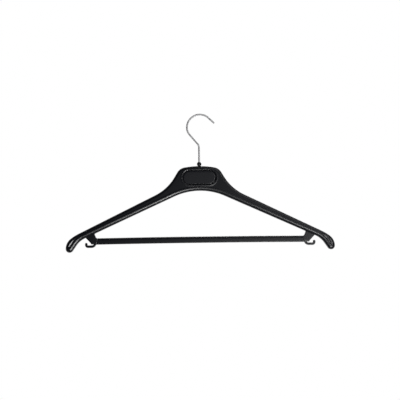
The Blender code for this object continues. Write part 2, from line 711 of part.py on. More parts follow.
def make_label_plate(parent, material):
    """A blank plate with a rounded border, on two pegs that press into the recess's floor."""
    half_width, half_height = RECESS_WIDTH / 2 - PLATE_END_GAP, RECESS_HEIGHT / 2 - PLATE_GAP
    levels = []
    for i in range(CROWN_POINTS + 1):
        turn = math.pi / 2 * i / CROWN_POINTS
        drop = CROWN_DEPTH * (1 - math.cos(turn))
        levels.append((1 - math.sin(turn), PLATE_FRONT_Y + drop))
    levels.append((0, PLATE_BACK_Y))
    rings = []
    for share, y in levels:
        inset, shift = CROWN_WIDTH * share, CROWN_SHIFT * share
        outline = recess_outline(half_width - inset, half_height - inset)
        rings.append([(x, y, z - shift) for x, z in outline])
    plate = loft("label_plate", rings, parent)
    front, back = (PLATE_FRONT_Y + PLATE_BACK_Y) / 2, RECESS_BACK_Y + PEG_STAND
    pegs = []
    for side in (1, -1):
        outline = circle(PEG_RADIUS, PEG_SIDES, peg_place(side))
        pegs.append(prism(f"peg {side}", outline, front, back, parent))
    combine(plate, "pegs", "UNION", pegs)
    finish(plate, material)


def turned(name, profile, sides, parent):
    """A solid turned about Z from (radius, z) points, closed by a face at either end."""
    rings = [[(x, y, z) for x, y in circle(radius, sides)] for radius, z in profile]
    return loft(name, rings, parent)


def make_tongue(parent):
    """Fills the slot in front of the sleeve, its face level with the moulding's."""
    half = SLOT_HALF - BUSH_GAP
    middle = (BORE_RADIUS + SLEEVE_RADIUS) / 2
    start = math.acos(half / middle)
    turns = [start + (math.pi - 2 * start) * i / ROUND_POINTS for i in range(ROUND_POINTS + 1)]
    back = [(-middle * math.cos(turn), -middle * math.sin(turn)) for turn in turns]
    drops = []
    for i in range(SHOULDER_POINTS):
        drops.append(SHOULDER_WIDTH * (1 - math.cos(math.pi / 2 * i / (SHOULDER_POINTS - 1))))
    drops.append(RECESS_DROP - TONGUE_SINK)
    rings = []
    for drop in drops:
        front = front_at(0, -drop) + TONGUE_SINK
        outline = [*back, (half, front), (-half, front)]
        rings.append([(x, y, -drop - TONGUE_SINK) for x, y in outline])
    return loft("tongue", rings, parent)


def make_hook_bush(parent, material):
    """Ball, sleeve, flange and tongue outside; inside, the bore and the room for the wire's head."""
    top = -SEAT_ROOF - BUSH_GAP
    low = top - FLANGE_HEIGHT
    foot = SLEEVE_RADIUS + BALL_FOOT_RIM
    centre = BUSH_GAP + math.sqrt(BALL_RADIUS**2 - foot**2)
    profile = [
        (FLANGE_RADIUS - BUSH_EDGE, low),
        (FLANGE_RADIUS, low + BUSH_EDGE),
        (FLANGE_RADIUS, top - BUSH_EDGE),
        (FLANGE_RADIUS - BUSH_EDGE, top),
        (SLEEVE_RADIUS, top),
        (SLEEVE_RADIUS, BUSH_GAP),
    ]
    first = math.asin(foot / BALL_RADIUS) - math.pi
    last = -math.asin(BORE_RADIUS / BALL_RADIUS)
    for i in range(BALL_RINGS + 1):
        turn = first + (last - first) * i / BALL_RINGS
        profile.append((-BALL_RADIUS * math.sin(turn), centre + BALL_RADIUS * math.cos(turn)))
    room = low + FLANGE_FLOOR
    room_top = room + HEAD_HEIGHT + 2 * SWIVEL_GAP
    room_radius = HEAD_RADIUS + SWIVEL_GAP
    profile += [(BORE_RADIUS, room_top), (room_radius, room_top), (room_radius, room)]
    bush = turned("hook_bush", profile, BUSH_SIDES, parent)
    combine(bush, "tongue on the sleeve", "UNION", [make_tongue(parent)])
    finish(bush, material)


def wire_line():
    """The wire's centre line above the moulding, as (x, z) points."""
    runs = [
        (SHAFT_RISE, 0),
        (NECK_RADIUS, NECK_TURN),
        (NECK_LENGTH, 0),
        (BACK_RADIUS, -BACK_TURN),
        (RAIL_RADIUS, -RAIL_TURN),
        (LIP_RADIUS, -LIP_TURN),
        (LIP_LENGTH, 0),
    ]
    return trace((0, 0), math.pi / 2, runs, WIRE_STEP)[0]


def rail_seat_height():
    """Height above the moulding of the hook's inner side, where the swivel axis crosses it."""
    line = wire_line()
    crossing = max(i for i in range(1, len(line)) if line[i - 1][0] < 0 <= line[i][0])
    before, after = line[crossing - 1], line[crossing]
    share = -before[0] / (after[0] - before[0])
    slope = math.atan2(after[1] - before[1], after[0] - before[0])
    return before[1] + share * (after[1] - before[1]) - WIRE_RADIUS / math.cos(slope)


def make_hook_wire(parent, material):
    """The wire swept along its line, from the upset head in the bush to its rounded free end."""
    head = -SEAT_ROOF - BUSH_GAP - FLANGE_HEIGHT + FLANGE_FLOOR + SWIVEL_GAP
    line = wire_line()
    run = np.gradient(line, axis=0)
    run[0] = (0, 1)
    run[-1] = line[-1] - line[-2]
    run /= np.linalg.norm(run, axis=1)[:, None]
    up = np.array([0.0, 1.0])
    foot, neck = np.array([0, head]), np.array([0, head + HEAD_HEIGHT])
    places = [(foot, up, HEAD_RADIUS), (neck, up, HEAD_RADIUS), (neck, up, WIRE_RADIUS)]
    places += [(point, along, WIRE_RADIUS) for point, along in zip(line[:-1], run[:-1])]
    places.append((line[-1] - WIRE_END_ROUND * run[-1], run[-1], WIRE_RADIUS))
    places.append((line[-1], run[-1], WIRE_RADIUS - WIRE_END_ROUND))
    rings = []
    for point, along, radius in places:
        across = np.array([along[1], -along[0]])
        ring = []
        for side, depth in circle(radius, WIRE_SIDES):
            x, z = point + side * across
            ring.append((x, depth, z))
        rings.append(ring)
    wire = loft("hook_wire", rings, parent)
    finish(wire, material)


def main():
    clear_scene()
    plastic = make_material("black plastic", (0.012, 0.012, 0.014), 0.36, 0.0)
    plate_plastic = make_material("black label plastic", (0.014, 0.014, 0.015), 0.45, 0.0)
    steel = make_material("bright steel", (0.62, 0.62, 0.63), 0.24, 1.0)
    swivel_axis = bpy.data.objects.new("swivel_axis", None)
    swivel_axis.location = (0, 0, -rail_seat_height())
    bpy.context.scene.collection.objects.link(swivel_axis)
    make_hanger_body(swivel_axis, plastic)
    make_label_plate(swivel_axis, plate_plastic)
    make_hook_bush(swivel_axis, plastic)
    make_hook_wire(swivel_axis, steel)


main()
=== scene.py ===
"""Looks of a plastic clothes hanger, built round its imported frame.

Metres, +Z up, front towards -Y. The hook turns about Z, and the origin is the place inside the hook
that rests on a rail. Heights in the shape functions count from the top of the moulding.
"""

import math
from types import SimpleNamespace
from typing import NamedTuple

import bmesh
import bpy
import numpy as np
from mathutils import Matrix, Vector


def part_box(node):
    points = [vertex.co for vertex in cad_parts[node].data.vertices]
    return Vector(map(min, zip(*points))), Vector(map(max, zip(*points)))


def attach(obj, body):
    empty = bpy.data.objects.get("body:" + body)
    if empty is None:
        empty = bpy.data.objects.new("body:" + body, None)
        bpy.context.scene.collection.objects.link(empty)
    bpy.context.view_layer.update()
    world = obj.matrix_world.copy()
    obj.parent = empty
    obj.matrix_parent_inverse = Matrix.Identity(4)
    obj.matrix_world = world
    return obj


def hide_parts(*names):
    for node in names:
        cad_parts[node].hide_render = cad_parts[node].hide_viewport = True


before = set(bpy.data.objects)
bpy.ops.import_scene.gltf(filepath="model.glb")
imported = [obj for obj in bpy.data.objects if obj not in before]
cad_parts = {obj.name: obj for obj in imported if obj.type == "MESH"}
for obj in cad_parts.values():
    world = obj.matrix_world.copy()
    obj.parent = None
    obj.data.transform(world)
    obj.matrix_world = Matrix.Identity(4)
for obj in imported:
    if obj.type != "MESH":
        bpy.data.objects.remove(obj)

bl_info = {
    "name": "Plastic clothes hanger",
    "version": (1, 0, 0),
    "blender": (4, 5, 0),
    "location": "3D View > Sidebar > Hanger",
    "description": "Builds a moulded clothes hanger with a trouser bar and a swivelling wire hook",
    "category": "Object",
}

MM = 0.001
WHITE = (1, 1, 1, 1)
BODY_LOW, BODY_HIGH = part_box("hanger_body")
TOP_Z = BODY_HIGH.z
HALF_SPAN = (BODY_HIGH.x - BODY_LOW.x) / 2
FRONT_Y = BODY_LOW.y
BACK_Y = BODY_HIGH.y
SMOOTH_ANGLE = math.radians(32)

# Points this close count as one, and a step in a swept shape is a little longer
MERGE = 0.001 * MM
LEDGE = 5 * MERGE


def length(name, description, millimetres):
    return bpy.props.FloatProperty(
        name=name, description=description, default=millimetres * MM, unit="LENGTH", precision=5
    )


def angle(name, description, degrees):
    return bpy.props.FloatProperty(
        name=name, description=description, default=math.radians(degrees), subtype="ANGLE"
    )


def share(name, description, value):
    return bpy.props.FloatProperty(name=name, description=description, default=value, min=0)


def count(name, description, value):
    return bpy.props.IntProperty(name=name, description=description, default=value, min=1)


def colour(name, description, value):
    return bpy.props.FloatVectorProperty(
        name=name, description=description, default=value, size=3, subtype="COLOR", min=0, max=1
    )


class HANGER_PG_outline(bpy.types.PropertyGroup):
    crown_radius: length("Crown radius", "Bend of the top edge at the middle", 145.0)
    crown_turn: angle("Crown turn", "How far the crown bends on each side", 10.0)
    corner_radius: length("Neck corner radius", "Bend at the top corners of the neck", 17.0)
    flare_angle: angle("Flare angle", "How steeply the neck's sides fall", 58.9)
    flare_length: length("Flare length", "Straight part of the neck's side", 9.2)
    flare_radius: length("Flare radius", "Bend from the neck into the arm", 78.0)
    arm_angle: angle("Arm slope", "Slope of the arm's top edge", 25.9)
    shoulder_radius: length("Shoulder radius", "First bend of the shoulder", 75.0)
    shoulder_turn: angle("Shoulder turn", "How far that bend turns", 12.5)
    end_radius: length("End radius", "Bend at the outer end of the arm", 21.0)
    tip_radius: length("Tip radius", "Round lower end of the arm", 6.4)
    tip_lean: angle("Tip lean", "How steeply the inner side of a tip falls", 55.2)
    under_angle: angle("Lower slope", "Slope of the arm's lower edge", 24.3)
    arm_end_height: length("Arm end height", "Across the arm, where its top edge starts to bend", 11.53)
    arch_radius: length("Arch radius", "Arch under the neck", 102.5)
    under_radius: length("Lower bend radius", "Bend of the lower edge into the tip", 34.0)


class HANGER_PG_section(bpy.types.PropertyGroup):
    wall: length("Wall", "Thickness of the side walls", 2.0)
    skin: length("Skin", "Thickness of the front", 2.2)
    shoulder_width: length("Shoulder width", "Width of the rounding along the top edge", 4.6)
    shoulder_drop: length("Shoulder drop", "Depth of that rounding", 5.0)
    bead_width: length("Bead width", "Lower edge to the bead's crest", 5.4)
    bead_gain: length("Bead gain", "Added to the bead's width by the tips", 0.2)
    bead_drop: length("Bead drop", "Depth of the rounding below the crest", 4.6)
    bead_fall: length("Bead fall", "Added to that depth by the tips", 0.8)
    face_sink: length("Face sink", "Face behind the bead's crest", 0.5)
    groove_width: length("Groove width", "Crest to the groove's bottom", 2.4)
    groove_depth: length("Groove depth", "Groove behind the face at the tips", 1.5)
    groove_fade: length("Groove fade", "Height over which the groove ends above the tips", 16.0)
    groove_reach: count("Groove reach", "How late the groove deepens on its way to the tips", 20)
    bead_reach: count("Bead reach", "How late the bead changes on its way to the tips", 4)
    rib_inset: length("Rib inset", "From the moulding's edge to the middle of a rib's end", 1.3)
    rim_round: length("Rim rounding", "Radius along the open back's edge", 0.35)
    lip_height: length("Lip height", "Raised border round the label recess", 0.28)
    lip_width: length("Lip width", "Width of that border's slope", 2.2)
    rib_thickness: length("Rib thickness", "Thickness of a rib", 1.4)
    rib_front: length("Rib front", "Front of the ribs behind the bead's crest", 2.6)
    rib_sink: length("Rib sink", "Ribs behind the rim", 2.5)
    rib_gap: length("Rib gap", "Between the feet of neighbouring ribs", 3.2)
    rib_count: count("Ribs", "Zigzag ribs in each arm", 7)
    rib_start: share("Rib start", "Share of the top edge where the ribs start", 0.33)
    rib_end: share("Rib end", "Share of the top edge where the ribs end", 0.88)


class HANGER_PG_bar(bpy.types.PropertyGroup):
    height: length("Bar height", "Height of the trouser bar", 10.6)
    front: length("Bar front", "Bar's front before the swivel axis", 4.2)
    depth: length("Bar depth", "Depth of the trouser bar", 8.2)
    wall: length("Bar wall", "Thickness of the bar's walls", 1.8)
    top_round: length("Top rounding", "Radius along the bar's top front edge", 4.0)
    foot_round: length("Foot rounding", "Radius along the bar's lower front edge", 1.2)
    back_round: length("Back rounding", "Radius along the bar's open edges", 0.3)
    bow: length("Bow", "How far the bar bows up at its middle", 0.8)
    rib_count: count("Bar ribs", "Cross ribs in the bar", 7)
    link_inset: length("Link inset", "Outer end of the arm to the link", 33.7)
    link_top: length("Link top width", "Width of a link at the arm", 14.7)
    link_foot: length("Link foot width", "Width of a link at the bar", 8.8)
    link_lean: length("Link lean", "How far the inner edge runs in on its way down", 3.0)
    link_height: length("Link height", "Arm to the bar's top", 7.4)
    link_proud: length("Link stand", "Link's face before the bar's face", 0.3)
    link_corner: length("Link corner", "Radius between the arm and the link", 1.6)
    link_fillet: length("Link fillet", "Radius between the link and the bar", 3.0)
    link_edge: length("Link edge", "Radius along the link's front edges", 1.1)
    link_step: length("Link step", "Foot of the outer edge above the bar's lower edge", 1.9)
    hook_width: length("Skirt hook width", "Width of a skirt hook's band", 4.2)
    hook_depth: length("Skirt hook depth", "Depth of a skirt hook", 5.0)
    hook_drop: length("Skirt hook drop", "Bar to the middle of the hook's floor", 3.2)
    hook_reach: length("Skirt hook reach", "Link to the start of the tip's bend", 5.3)
    hook_floor: length("Skirt hook floor", "Straight part of the hook", 6.2)
    hook_root: length("Skirt hook root", "Radius inside the bend at the root", 3.9)
    hook_root_turn: angle("Skirt hook root turn", "How far the root bends", 62.0)
    hook_tip: length("Skirt hook tip", "Radius inside the bend at the tip", 0.8)
    hook_rise: length("Skirt hook rise", "Straight part of the tip", 1.4)
    hook_edge: length("Skirt hook edge", "Radius along the hook's edges", 0.7)


class HANGER_PG_hook(bpy.types.PropertyGroup):
    wire: length("Wire diameter", "Diameter of the hook's wire", 3.0)
    shaft: length("Shaft", "Moulding to the first bend", 31.4)
    neck_radius: length("Neck radius", "First bend of the wire", 8.8)
    neck_turn: angle("Neck turn", "How far it bends", 40.7)
    neck_length: length("Neck length", "Straight part above the first bend", 19.9)
    back_radius: length("Back radius", "Bend at the back of the hook", 18.8)
    back_turn: angle("Back turn", "How far it bends", 44.9)
    rail_radius: length("Rail radius", "Bend over the rail", 21.8)
    rail_turn: angle("Rail turn", "How far it bends", 113.0)
    lip_radius: length("Lip radius", "Last bend of the wire", 12.8)
    lip_turn: angle("Lip turn", "How far it bends", 15.5)
    lip_length: length("Lip length", "Straight end of the wire", 15.3)
    end_round: length("End rounding", "Radius at the wire's cut end", 0.5)
    head_rim: length("Head rim", "Upset head, proud of the wire", 0.7)
    head_height: length("Head height", "Height of that head", 1.2)
    swivel_gap: length("Swivel gap", "Wire to the bush that it turns in", 0.2)
    sleeve_wall: length("Sleeve wall", "Wall of the bush's sleeve", 0.5)
    ball_radius: length("Ball radius", "Ball above the moulding", 3.8)
    ball_foot: length("Ball foot", "Flat foot of the ball, proud of the sleeve", 0.1)
    flange_rim: length("Flange rim", "Flange, proud of the sleeve", 1.2)
    flange_floor: length("Flange floor", "Below the wire's head", 0.9)
    flange_roof: length("Flange roof", "Above the wire's head", 0.5)
    bush_edge: length("Bush edge", "Chamfer of the flange", 0.3)
    gap: length("Bush gap", "Bush to its seat", 0.3)
    tongue_sink: length("Tongue sink", "Bush's tongue behind the moulding's face", 0.1)
    snap: length("Snap", "How far each lip closes over the sleeve", 0.2)
    seat_roof: length("Seat roof", "Top of the moulding to the seat", 8.4)
    seat_gap: length("Seat gap", "Flange to the seat's side", 0.5)
    seat_spare: length("Seat spare", "Room below the flange", 1.6)
    seat_wall: length("Seat wall", "Wall round the seat", 1.5)


class HANGER_PG_label(bpy.types.PropertyGroup):
    width: length("Recess width", "Width of the label recess", 56.2)
    height: length("Recess height", "Height of the label recess", 23.8)
    drop: length("Recess drop", "Top of the moulding to the recess", 7.0)
    mouth: length("Mouth width", "Width of the rounding along the recess's front edge", 1.6)
    mouth_depth: length("Mouth depth", "Depth of that rounding", 0.9)
    sink: length("Plate sink", "Plate behind the moulding's face", 2.1)
    thickness: length("Plate thickness", "Thickness of the label plate", 1.5)
    gap: length("Plate gap", "Above and below the plate", 0.5)
    end_gap: length("Plate end gap", "Beside the plate's ends", 0.8)
    seat_gap: length("Plate seat gap", "Behind the plate", 0.3)
    crown_width: length("Crown width", "Width of the plate's rounded border at its ends", 2.2)
    crown_shift: length("Crown shift", "Wider than that above the flat face, narrower below", 1.4)
    crown_depth: length("Crown depth", "Depth of that border", 1.1)
    back_edge: length("Plate back edge", "Chamfer along the plate's back", 0.2)
    peg_edge: length("Peg edge", "Radius along the pegs' ends", 0.35)
    floor: length("Recess floor", "Thickness of the recess's floor", 1.6)
    peg_radius: length("Peg radius", "Radius of the plate's pegs", 1.5)
    peg_stand: length("Peg stand", "Pegs behind the recess's floor", 1.2)
    peg_gap: length("Peg gap", "Pegs to their holes", 0.3)
    peg_place: share("Peg place", "Share of the plate's half width", 0.7)


class HANGER_PG_finish(bpy.types.PropertyGroup):
    plastic: colour("Plastic", "Black of the moulding", (0.006, 0.0065, 0.009))
    plastic_rough: share("Plastic roughness", "Roughness of the moulding", 0.28)
    worn: colour("Rubbed plastic", "Plastic where it is rubbed", (0.022, 0.022, 0.024))
    worn_rough: share("Rubbed roughness", "Roughness that rubbing adds", 0.15)
    wear: share("Wear", "How strongly the edges are rubbed", 0.6)
    crest_wear: length("Crest wear", "How far wear spreads from the bead's crest", 0.9)
    top_wear: length("Top wear", "How far wear spreads from the top edge", 1.4)
    top_share: share("Top wear share", "Wear of the top edge, against the crest's", 0.8)
    rim_wear: length("Rim wear", "How far wear spreads from the open back's rim", 0.6)
    rim_share: share("Rim wear share", "Wear of that rim, against the crest's", 0.9)
    plate: colour("Label plastic", "Black of the label plate", (0.0075, 0.008, 0.011))
    plate_rough: share("Label roughness", "Roughness of the label plate", 0.32)
    bush: colour("Bush plastic", "Black of the hook's bush", (0.0075, 0.008, 0.0105))
    bush_rough: share("Bush roughness", "Roughness of the bush", 0.42)
    steel: colour("Plated steel", "Colour of the hook's plating", (0.62, 0.62, 0.63))
    steel_dull: colour("Dull steel", "Plating along the drawing marks", (0.55, 0.55, 0.56))
    steel_rough: share("Steel roughness", "Roughness of the plating", 0.58)
    plastic_spread: share("Plastic unevenness", "Share by which the plastics' roughness varies", 0.05)
    steel_spread: share("Steel unevenness", "Share by which the plating's roughness varies", 0.1)
    mark_depth: length("Mark depth", "Depth of the plating's drawing marks", 0.002)
    grain: share("Grain", "Moulded grains in a millimetre", 2.2)
    grain_depth: length("Grain depth", "Depth of the moulded grain", 0.0004)
    flow_depth: length("Flow depth", "Depth of the uneven cooling", 0.008)


class HANGER_PG_studio(bpy.types.PropertyGroup):
    frame_width: length("Frame width", "Width of the picture at the hanger", 669.2)
    aim_x: length("Aim across", "Middle of the picture beside the swivel axis", 0.6)
    aim_drop: length("Aim drop", "Middle of the picture below the moulding's top", 56.8)
    roll: angle("Roll", "Turn of the picture, right side up", 0.783)
    distance: length("Camera distance", "Camera to the hanger", 3200.0)
    floor_drop: length("Floor drop", "Floor below the rail seat", 1200.0)
    floor_radius: length("Floor radius", "Radius of the floor", 9000.0)
    floor_rough: share("Floor roughness", "Roughness of the floor", 0.9)
    fade_start: length("Fade start", "From the middle, where the floor starts to turn white", 750.0)
    fade_end: length("Fade end", "From the middle, where the floor is plain white", 1500.0)
    white_depth: length("White depth", "Behind the hanger, where gloss sees plain white", 500.0)
    white_start: share("White start", "Backward part of a glossy ray's way where white starts", 0.1)
    white_full: share("White full", "Backward part of a glossy ray's way where it sees plain white", 0.6)
    floor_colour: colour("Floor", "Colour of the pale floor", (0.86, 0.86, 0.86))
    floor_bounce: colour("Floor bounce", "Floor's colour for the light it gives back", (0.25, 0.25, 0.25))
    ambient: share("Ambient", "Strength of the light from all around", 0.013)


GROUPS = {
    "outline": HANGER_PG_outline,
    "section": HANGER_PG_section,
    "bar": HANGER_PG_bar,
    "hook": HANGER_PG_hook,
    "label": HANGER_PG_label,
    "finish": HANGER_PG_finish,
    "studio": HANGER_PG_studio,
}

# What stands before a group's name where the scene keeps it
PREFIX = "hanger_"


def settings():
    """The values that the scene keeps, in one group for each name in GROUPS."""
    scene = bpy.context.scene
    return SimpleNamespace(**{name: getattr(scene, PREFIX + name) for name in GROUPS})


# How finely curves are cut. STATIONS counts the rings in each span of an arm, from the neck out
ARC_STEP = math.radians(1.0)
STATIONS = (110, 70, 36, 16)
SHOULDER_POINTS = 9
FACE_POINTS = 46
CORE_POINTS = 10
GROOVE_POINTS = 8
BEAD_POINTS = 7
RIM_POINTS = 3
BAR_STATIONS = 60
ROUND_POINTS = 8
RECESS_END_POINTS = 72
MOUTH_POINTS = 8
CROWN_POINTS = 12
SKIRT_STEP = math.radians(6.0)
WIRE_STEP = math.radians(2.0)
WIRE_SIDES = 32
BUSH_SIDES = 64
BALL_RINGS = 28
PEG_SIDES = 32
CAP_POINTS = 14
FLOOR_SIDES = 96
BEVEL_SEGMENTS = 3

# How far a cutting shape runs past what it cuts
OVERRUN = 4.0 * MM

# Most that a rim's rounding takes up, as a share of the width between the edges
RIM_SHARE = 0.25

# Kinds of socket
NUMBER = "NodeSocketFloat"
INTEGER = "NodeSocketInt"
GEOMETRY = "NodeSocketGeometry"


def add_object(name, data):
    """An object in the scene, at the origin and unturned."""
    obj = bpy.data.objects.new(name, data)
    bpy.context.scene.collection.objects.link(obj)
    return obj


def mesh_object(name, points, edges, faces):
    mesh = bpy.data.meshes.new(name)
    mesh.from_pydata(points, edges, faces)
    return add_object(name, mesh)


def clean(mesh):
    """Joins points that lie together, and turns the faces outward."""
    bm = bmesh.new()
    bm.from_mesh(mesh)
    bmesh.ops.remove_doubles(bm, verts=bm.verts, dist=MERGE)
    bmesh.ops.recalc_face_normals(bm, faces=bm.faces)
    bm.to_mesh(mesh)
    bm.free()


def loft(name, rings):
    """A solid through rings of (x, y, z) points, with a face over its first and its last ring."""
    rings = np.array(rings, float)
    total, size = rings.shape[:2]
    points = rings.reshape(-1, 3) + np.array([0, 0, TOP_Z])
    i, j = np.meshgrid(np.arange(total - 1), np.arange(size), indexing="ij")
    after = (j + 1) % size
    faces = np.stack((i * size + j, i * size + after, (i + 1) * size + after, (i + 1) * size + j), -1)
    faces = faces.reshape(-1, 4).tolist()
    faces += [list(range(size))[::-1], list(range((total - 1) * size, total * size))]
    obj = mesh_object(name, points.tolist(), [], faces)
    clean(obj.data)
    return obj


def prism(name, outline, front, back):
    """An outline of (x, z) points, carried from front to back along Y."""
    return loft(name, [[(x, y, z) for x, z in outline] for y in (front, back)])


def round_edges(obj, width, clamp=True):
    """Bevels the edges. Without clamp, short edges don't narrow the bevel."""
    modifier = obj.modifiers.new("rounded edges", "BEVEL")
    modifier.width = width
    modifier.use_clamp_overlap = clamp
    modifier.segments = BEVEL_SEGMENTS
    modifier.limit_method = "ANGLE"


def make_plain(obj):
    """Puts the shape that the modifiers give into the object's own mesh."""
    graph = bpy.context.evaluated_depsgraph_get()
    mesh = bpy.data.meshes.new_from_object(obj.evaluated_get(graph))
    obj.modifiers.clear()
    obj.data = mesh


def combine(target, operation, helpers):
    """Joins the helpers to target, or cuts them from it, and removes them."""
    group = bpy.data.collections.new("helpers")
    bpy.context.scene.collection.children.link(group)
    for helper in helpers:
        bpy.context.scene.collection.objects.unlink(helper)
        group.objects.link(helper)
        helper.modifiers.new("triangles", "TRIANGULATE")
    modifier = target.modifiers.new("join or cut", "BOOLEAN")
    modifier.operation = operation
    modifier.solver = "MANIFOLD"
    modifier.operand_type = "COLLECTION"
    modifier.collection = group
    make_plain(target)
    for helper in helpers:
        bpy.data.objects.remove(helper)
    bpy.data.collections.remove(group)


def shade(obj, material):
    """Smooth faces, with hard edges where they meet at an angle."""
    obj.data.materials.clear()
    obj.data.materials.append(material)
    obj.data.shade_smooth()
    obj.data.set_sharp_from_angle(angle=SMOOTH_ANGLE)
    modifier = obj.modifiers.new("even normals", "WEIGHTED_NORMAL")
    modifier.keep_sharp = True
    make_plain(obj)


def mirrored(points, side):
    return [(side * x, z) for x, z in points]


def arc(centre, radius, turns):
    return [(centre[0] + radius * math.cos(a), centre[1] + radius * math.sin(a)) for a in turns]


def circle(radius, total, centre=(0, 0)):
    return arc(centre, radius, [2 * math.pi * i / total for i in range(total)])


def quarter_round(total):
    """Shares (across, deep) along a quarter of a round, from (1, 0) to (0, 1)."""
    turns = [math.pi / 2 * i / total for i in range(total + 1)]
    return [(1 - math.sin(turn), 1 - math.cos(turn)) for turn in turns]


def close_at_first(total):
    """Shares from 0 to 1 that start close together."""
    return 1 - np.cos(np.linspace(0, math.pi / 2, total))


def direction(heading):
    return np.array([math.cos(heading), math.sin(heading)])


def unit(way):
    return way / np.linalg.norm(way)


def trace(start, heading, runs, step):
    """Points along runs of (length, 0) for a line and (radius, turn) for an arc, as (x, z).

    A turn is an angle, positive to the left. Also gives the length to each run's end.
    """
    points = [np.array(start, float)]
    ends = []
    along = 0
    for size, turn in runs:
        pieces = max(1, math.ceil(abs(turn) / step))
        chord = 2 * size * math.sin(abs(turn) / pieces / 2) if turn else size
        for _ in range(pieces):
            heading += turn / pieces / 2
            points.append(points[-1] + chord * direction(heading))
            heading += turn / pieces / 2
            along += chord
        ends.append(along)
    return np.array(points), ends


def at_length(points, along):
    places = np.append(0, np.cumsum(np.linalg.norm(np.diff(points, axis=0), axis=1)))
    return np.array([np.interp(along, places, points[:, 0]), np.interp(along, places, points[:, 1])])


def way_at(points, along):
    """The way that a line runs at a length along it, one unit long."""
    return unit(at_length(points, along + MERGE) - at_length(points, along - MERGE))


def distances(line, points):
    """How far each (x, z) point lies from a line on the right half, or from its mirror image."""
    place = np.column_stack((np.abs(points[:, 0]), points[:, 1]))[:, None, :]
    start = line[:-1]
    run = np.diff(line, axis=0)
    part = np.clip(((place - start) * run).sum(2) / (run * run).sum(1), 0, 1)
    return np.linalg.norm(start + run * part[..., None] - place, axis=2).min(1)


def trace_top(o):
    """Top edge of the right half to the middle of its tip, with the ends of its four spans."""
    neck = [
        (o.crown_radius, -o.crown_turn),
        (o.corner_radius, o.crown_turn - o.flare_angle),
        (o.flare_length, 0),
        (o.flare_radius, o.flare_angle - o.arm_angle),
    ]
    shoulder = [
        (o.shoulder_radius, -o.shoulder_turn),
        (o.end_radius, o.arm_angle + o.shoulder_turn - math.pi / 2),
    ]
    neck_reach = trace((0, 0), 0, neck, ARC_STEP)[0][-1][0]
    shoulder_reach = trace((0, 0), -o.arm_angle, shoulder, ARC_STEP)[0][-1][0]
    arm = [((HALF_SPAN - neck_reach - shoulder_reach) / math.cos(o.arm_angle), 0)]
    tip = [(o.tip_radius, -(math.pi / 2 + o.tip_lean) / 2)]
    points, ends = trace((0, 0), 0, neck + arm + shoulder + tip, ARC_STEP)
    return points, [0, ends[3], ends[4], ends[6], ends[7]]


def trace_low(o, top, top_spans):
    """Lower edge of the right half to the middle of its tip, with the ends of its four spans."""
    along = direction(-o.under_angle)
    inward = direction(-o.under_angle - math.pi / 2)
    on_line = at_length(top, top_spans[2]) + o.arm_end_height * inward
    tip_line = direction(-o.tip_lean)
    tip_centre = at_length(top, top_spans[3]) - np.array([o.tip_radius, 0])
    tip_start = tip_centre + o.tip_radius * direction(-o.tip_lean - math.pi / 2)
    reach = np.linalg.solve(np.column_stack((along, -tip_line)), tip_start - on_line)
    corner = on_line + reach[0] * along
    half_turn = (o.tip_lean - o.under_angle) / 2
    radius = min(o.under_radius, -reach[1] / math.tan(half_turn))
    setback = radius * math.tan(half_turn)
    arch_end = o.arch_radius * math.sin(o.under_angle)
    line_height = on_line[1] + on_line[0] * math.tan(o.under_angle)
    middle = line_height - o.arch_radius * (1 / math.cos(o.under_angle) - 1)
    runs = [
        (o.arch_radius, -o.under_angle),
        ((corner[0] - arch_end) / math.cos(o.under_angle) - setback, 0),
        (radius, -2 * half_turn),
        (max(-reach[1] - setback, MERGE), 0),
        (o.tip_radius, (math.pi / 2 + o.tip_lean) / 2),
    ]
    points, ends = trace((0, middle), 0, runs, ARC_STEP)
    line_start = at_length(points, ends[0])
    foot = [ends[0] + float((at_length(top, top_spans[i]) - line_start) @ along) for i in (1, 2)]
    return points, [0, foot[0], min(foot[1], ends[1]), ends[3], ends[4]]


def trace_edges(o):
    top, top_spans = trace_top(o)
    low, low_spans = trace_low(o, top, top_spans)
    return SimpleNamespace(top=top, top_spans=top_spans, low=low, low_spans=low_spans)


def round_off(part):
    """Drop of a rounded edge, from 1 at the edge itself to 0 where the rounding ends."""
    return 1 - np.sqrt(1 - (1 - np.clip(part, 0, 1)) ** 2)


def ramp(part):
    return (1 - np.cos(np.pi * np.clip(part, 0, 1))) / 2


def recess_middle(label):
    return -label.drop - label.height / 2


def recess_depths(s):
    """Y of the moulding's face, the plate's front and back, and the recess's floor and its back."""
    label = s.label
    face = FRONT_Y + s.section.face_sink
    plate = face + label.sink
    plate_back = plate + label.thickness
    floor = plate_back + label.seat_gap
    return SimpleNamespace(
        face=face, plate=plate, plate_back=plate_back, floor=floor, floor_back=floor + label.floor
    )


def recess_outline(label, half_width, half_height):
    """Straight along the top and the bottom, with a half circle at each end."""
    turns = np.linspace(-math.pi / 2, math.pi / 2, RECESS_END_POINTS + 1)
    x = half_width - half_height + half_height * np.cos(turns)
    z = half_height * np.sin(turns)
    ends = [np.column_stack((side * x, side * z + recess_middle(label))) for side in (1, -1)]
    return np.concatenate(ends)


def reach_out(points, power):
    """From 0 at the middle of the hanger to 1 at its tips. A high power keeps it low for longer."""
    return (np.abs(points[:, 0]) / HALF_SPAN) ** power


def bead_width(points, s):
    section = s.section
    return section.bead_width + section.bead_gain * reach_out(points, section.bead_reach)


def lip_at(points, s):
    """Height of the raised border round the label recess over (x, z) points."""
    label, section = s.label, s.section
    radius = label.height / 2
    beside = np.maximum(np.abs(points[:, 0]) - (label.width / 2 - radius), 0)
    outside = np.hypot(beside, points[:, 1] - recess_middle(label)) - radius - label.mouth
    return section.lip_height * ramp(1 - outside / section.lip_width)


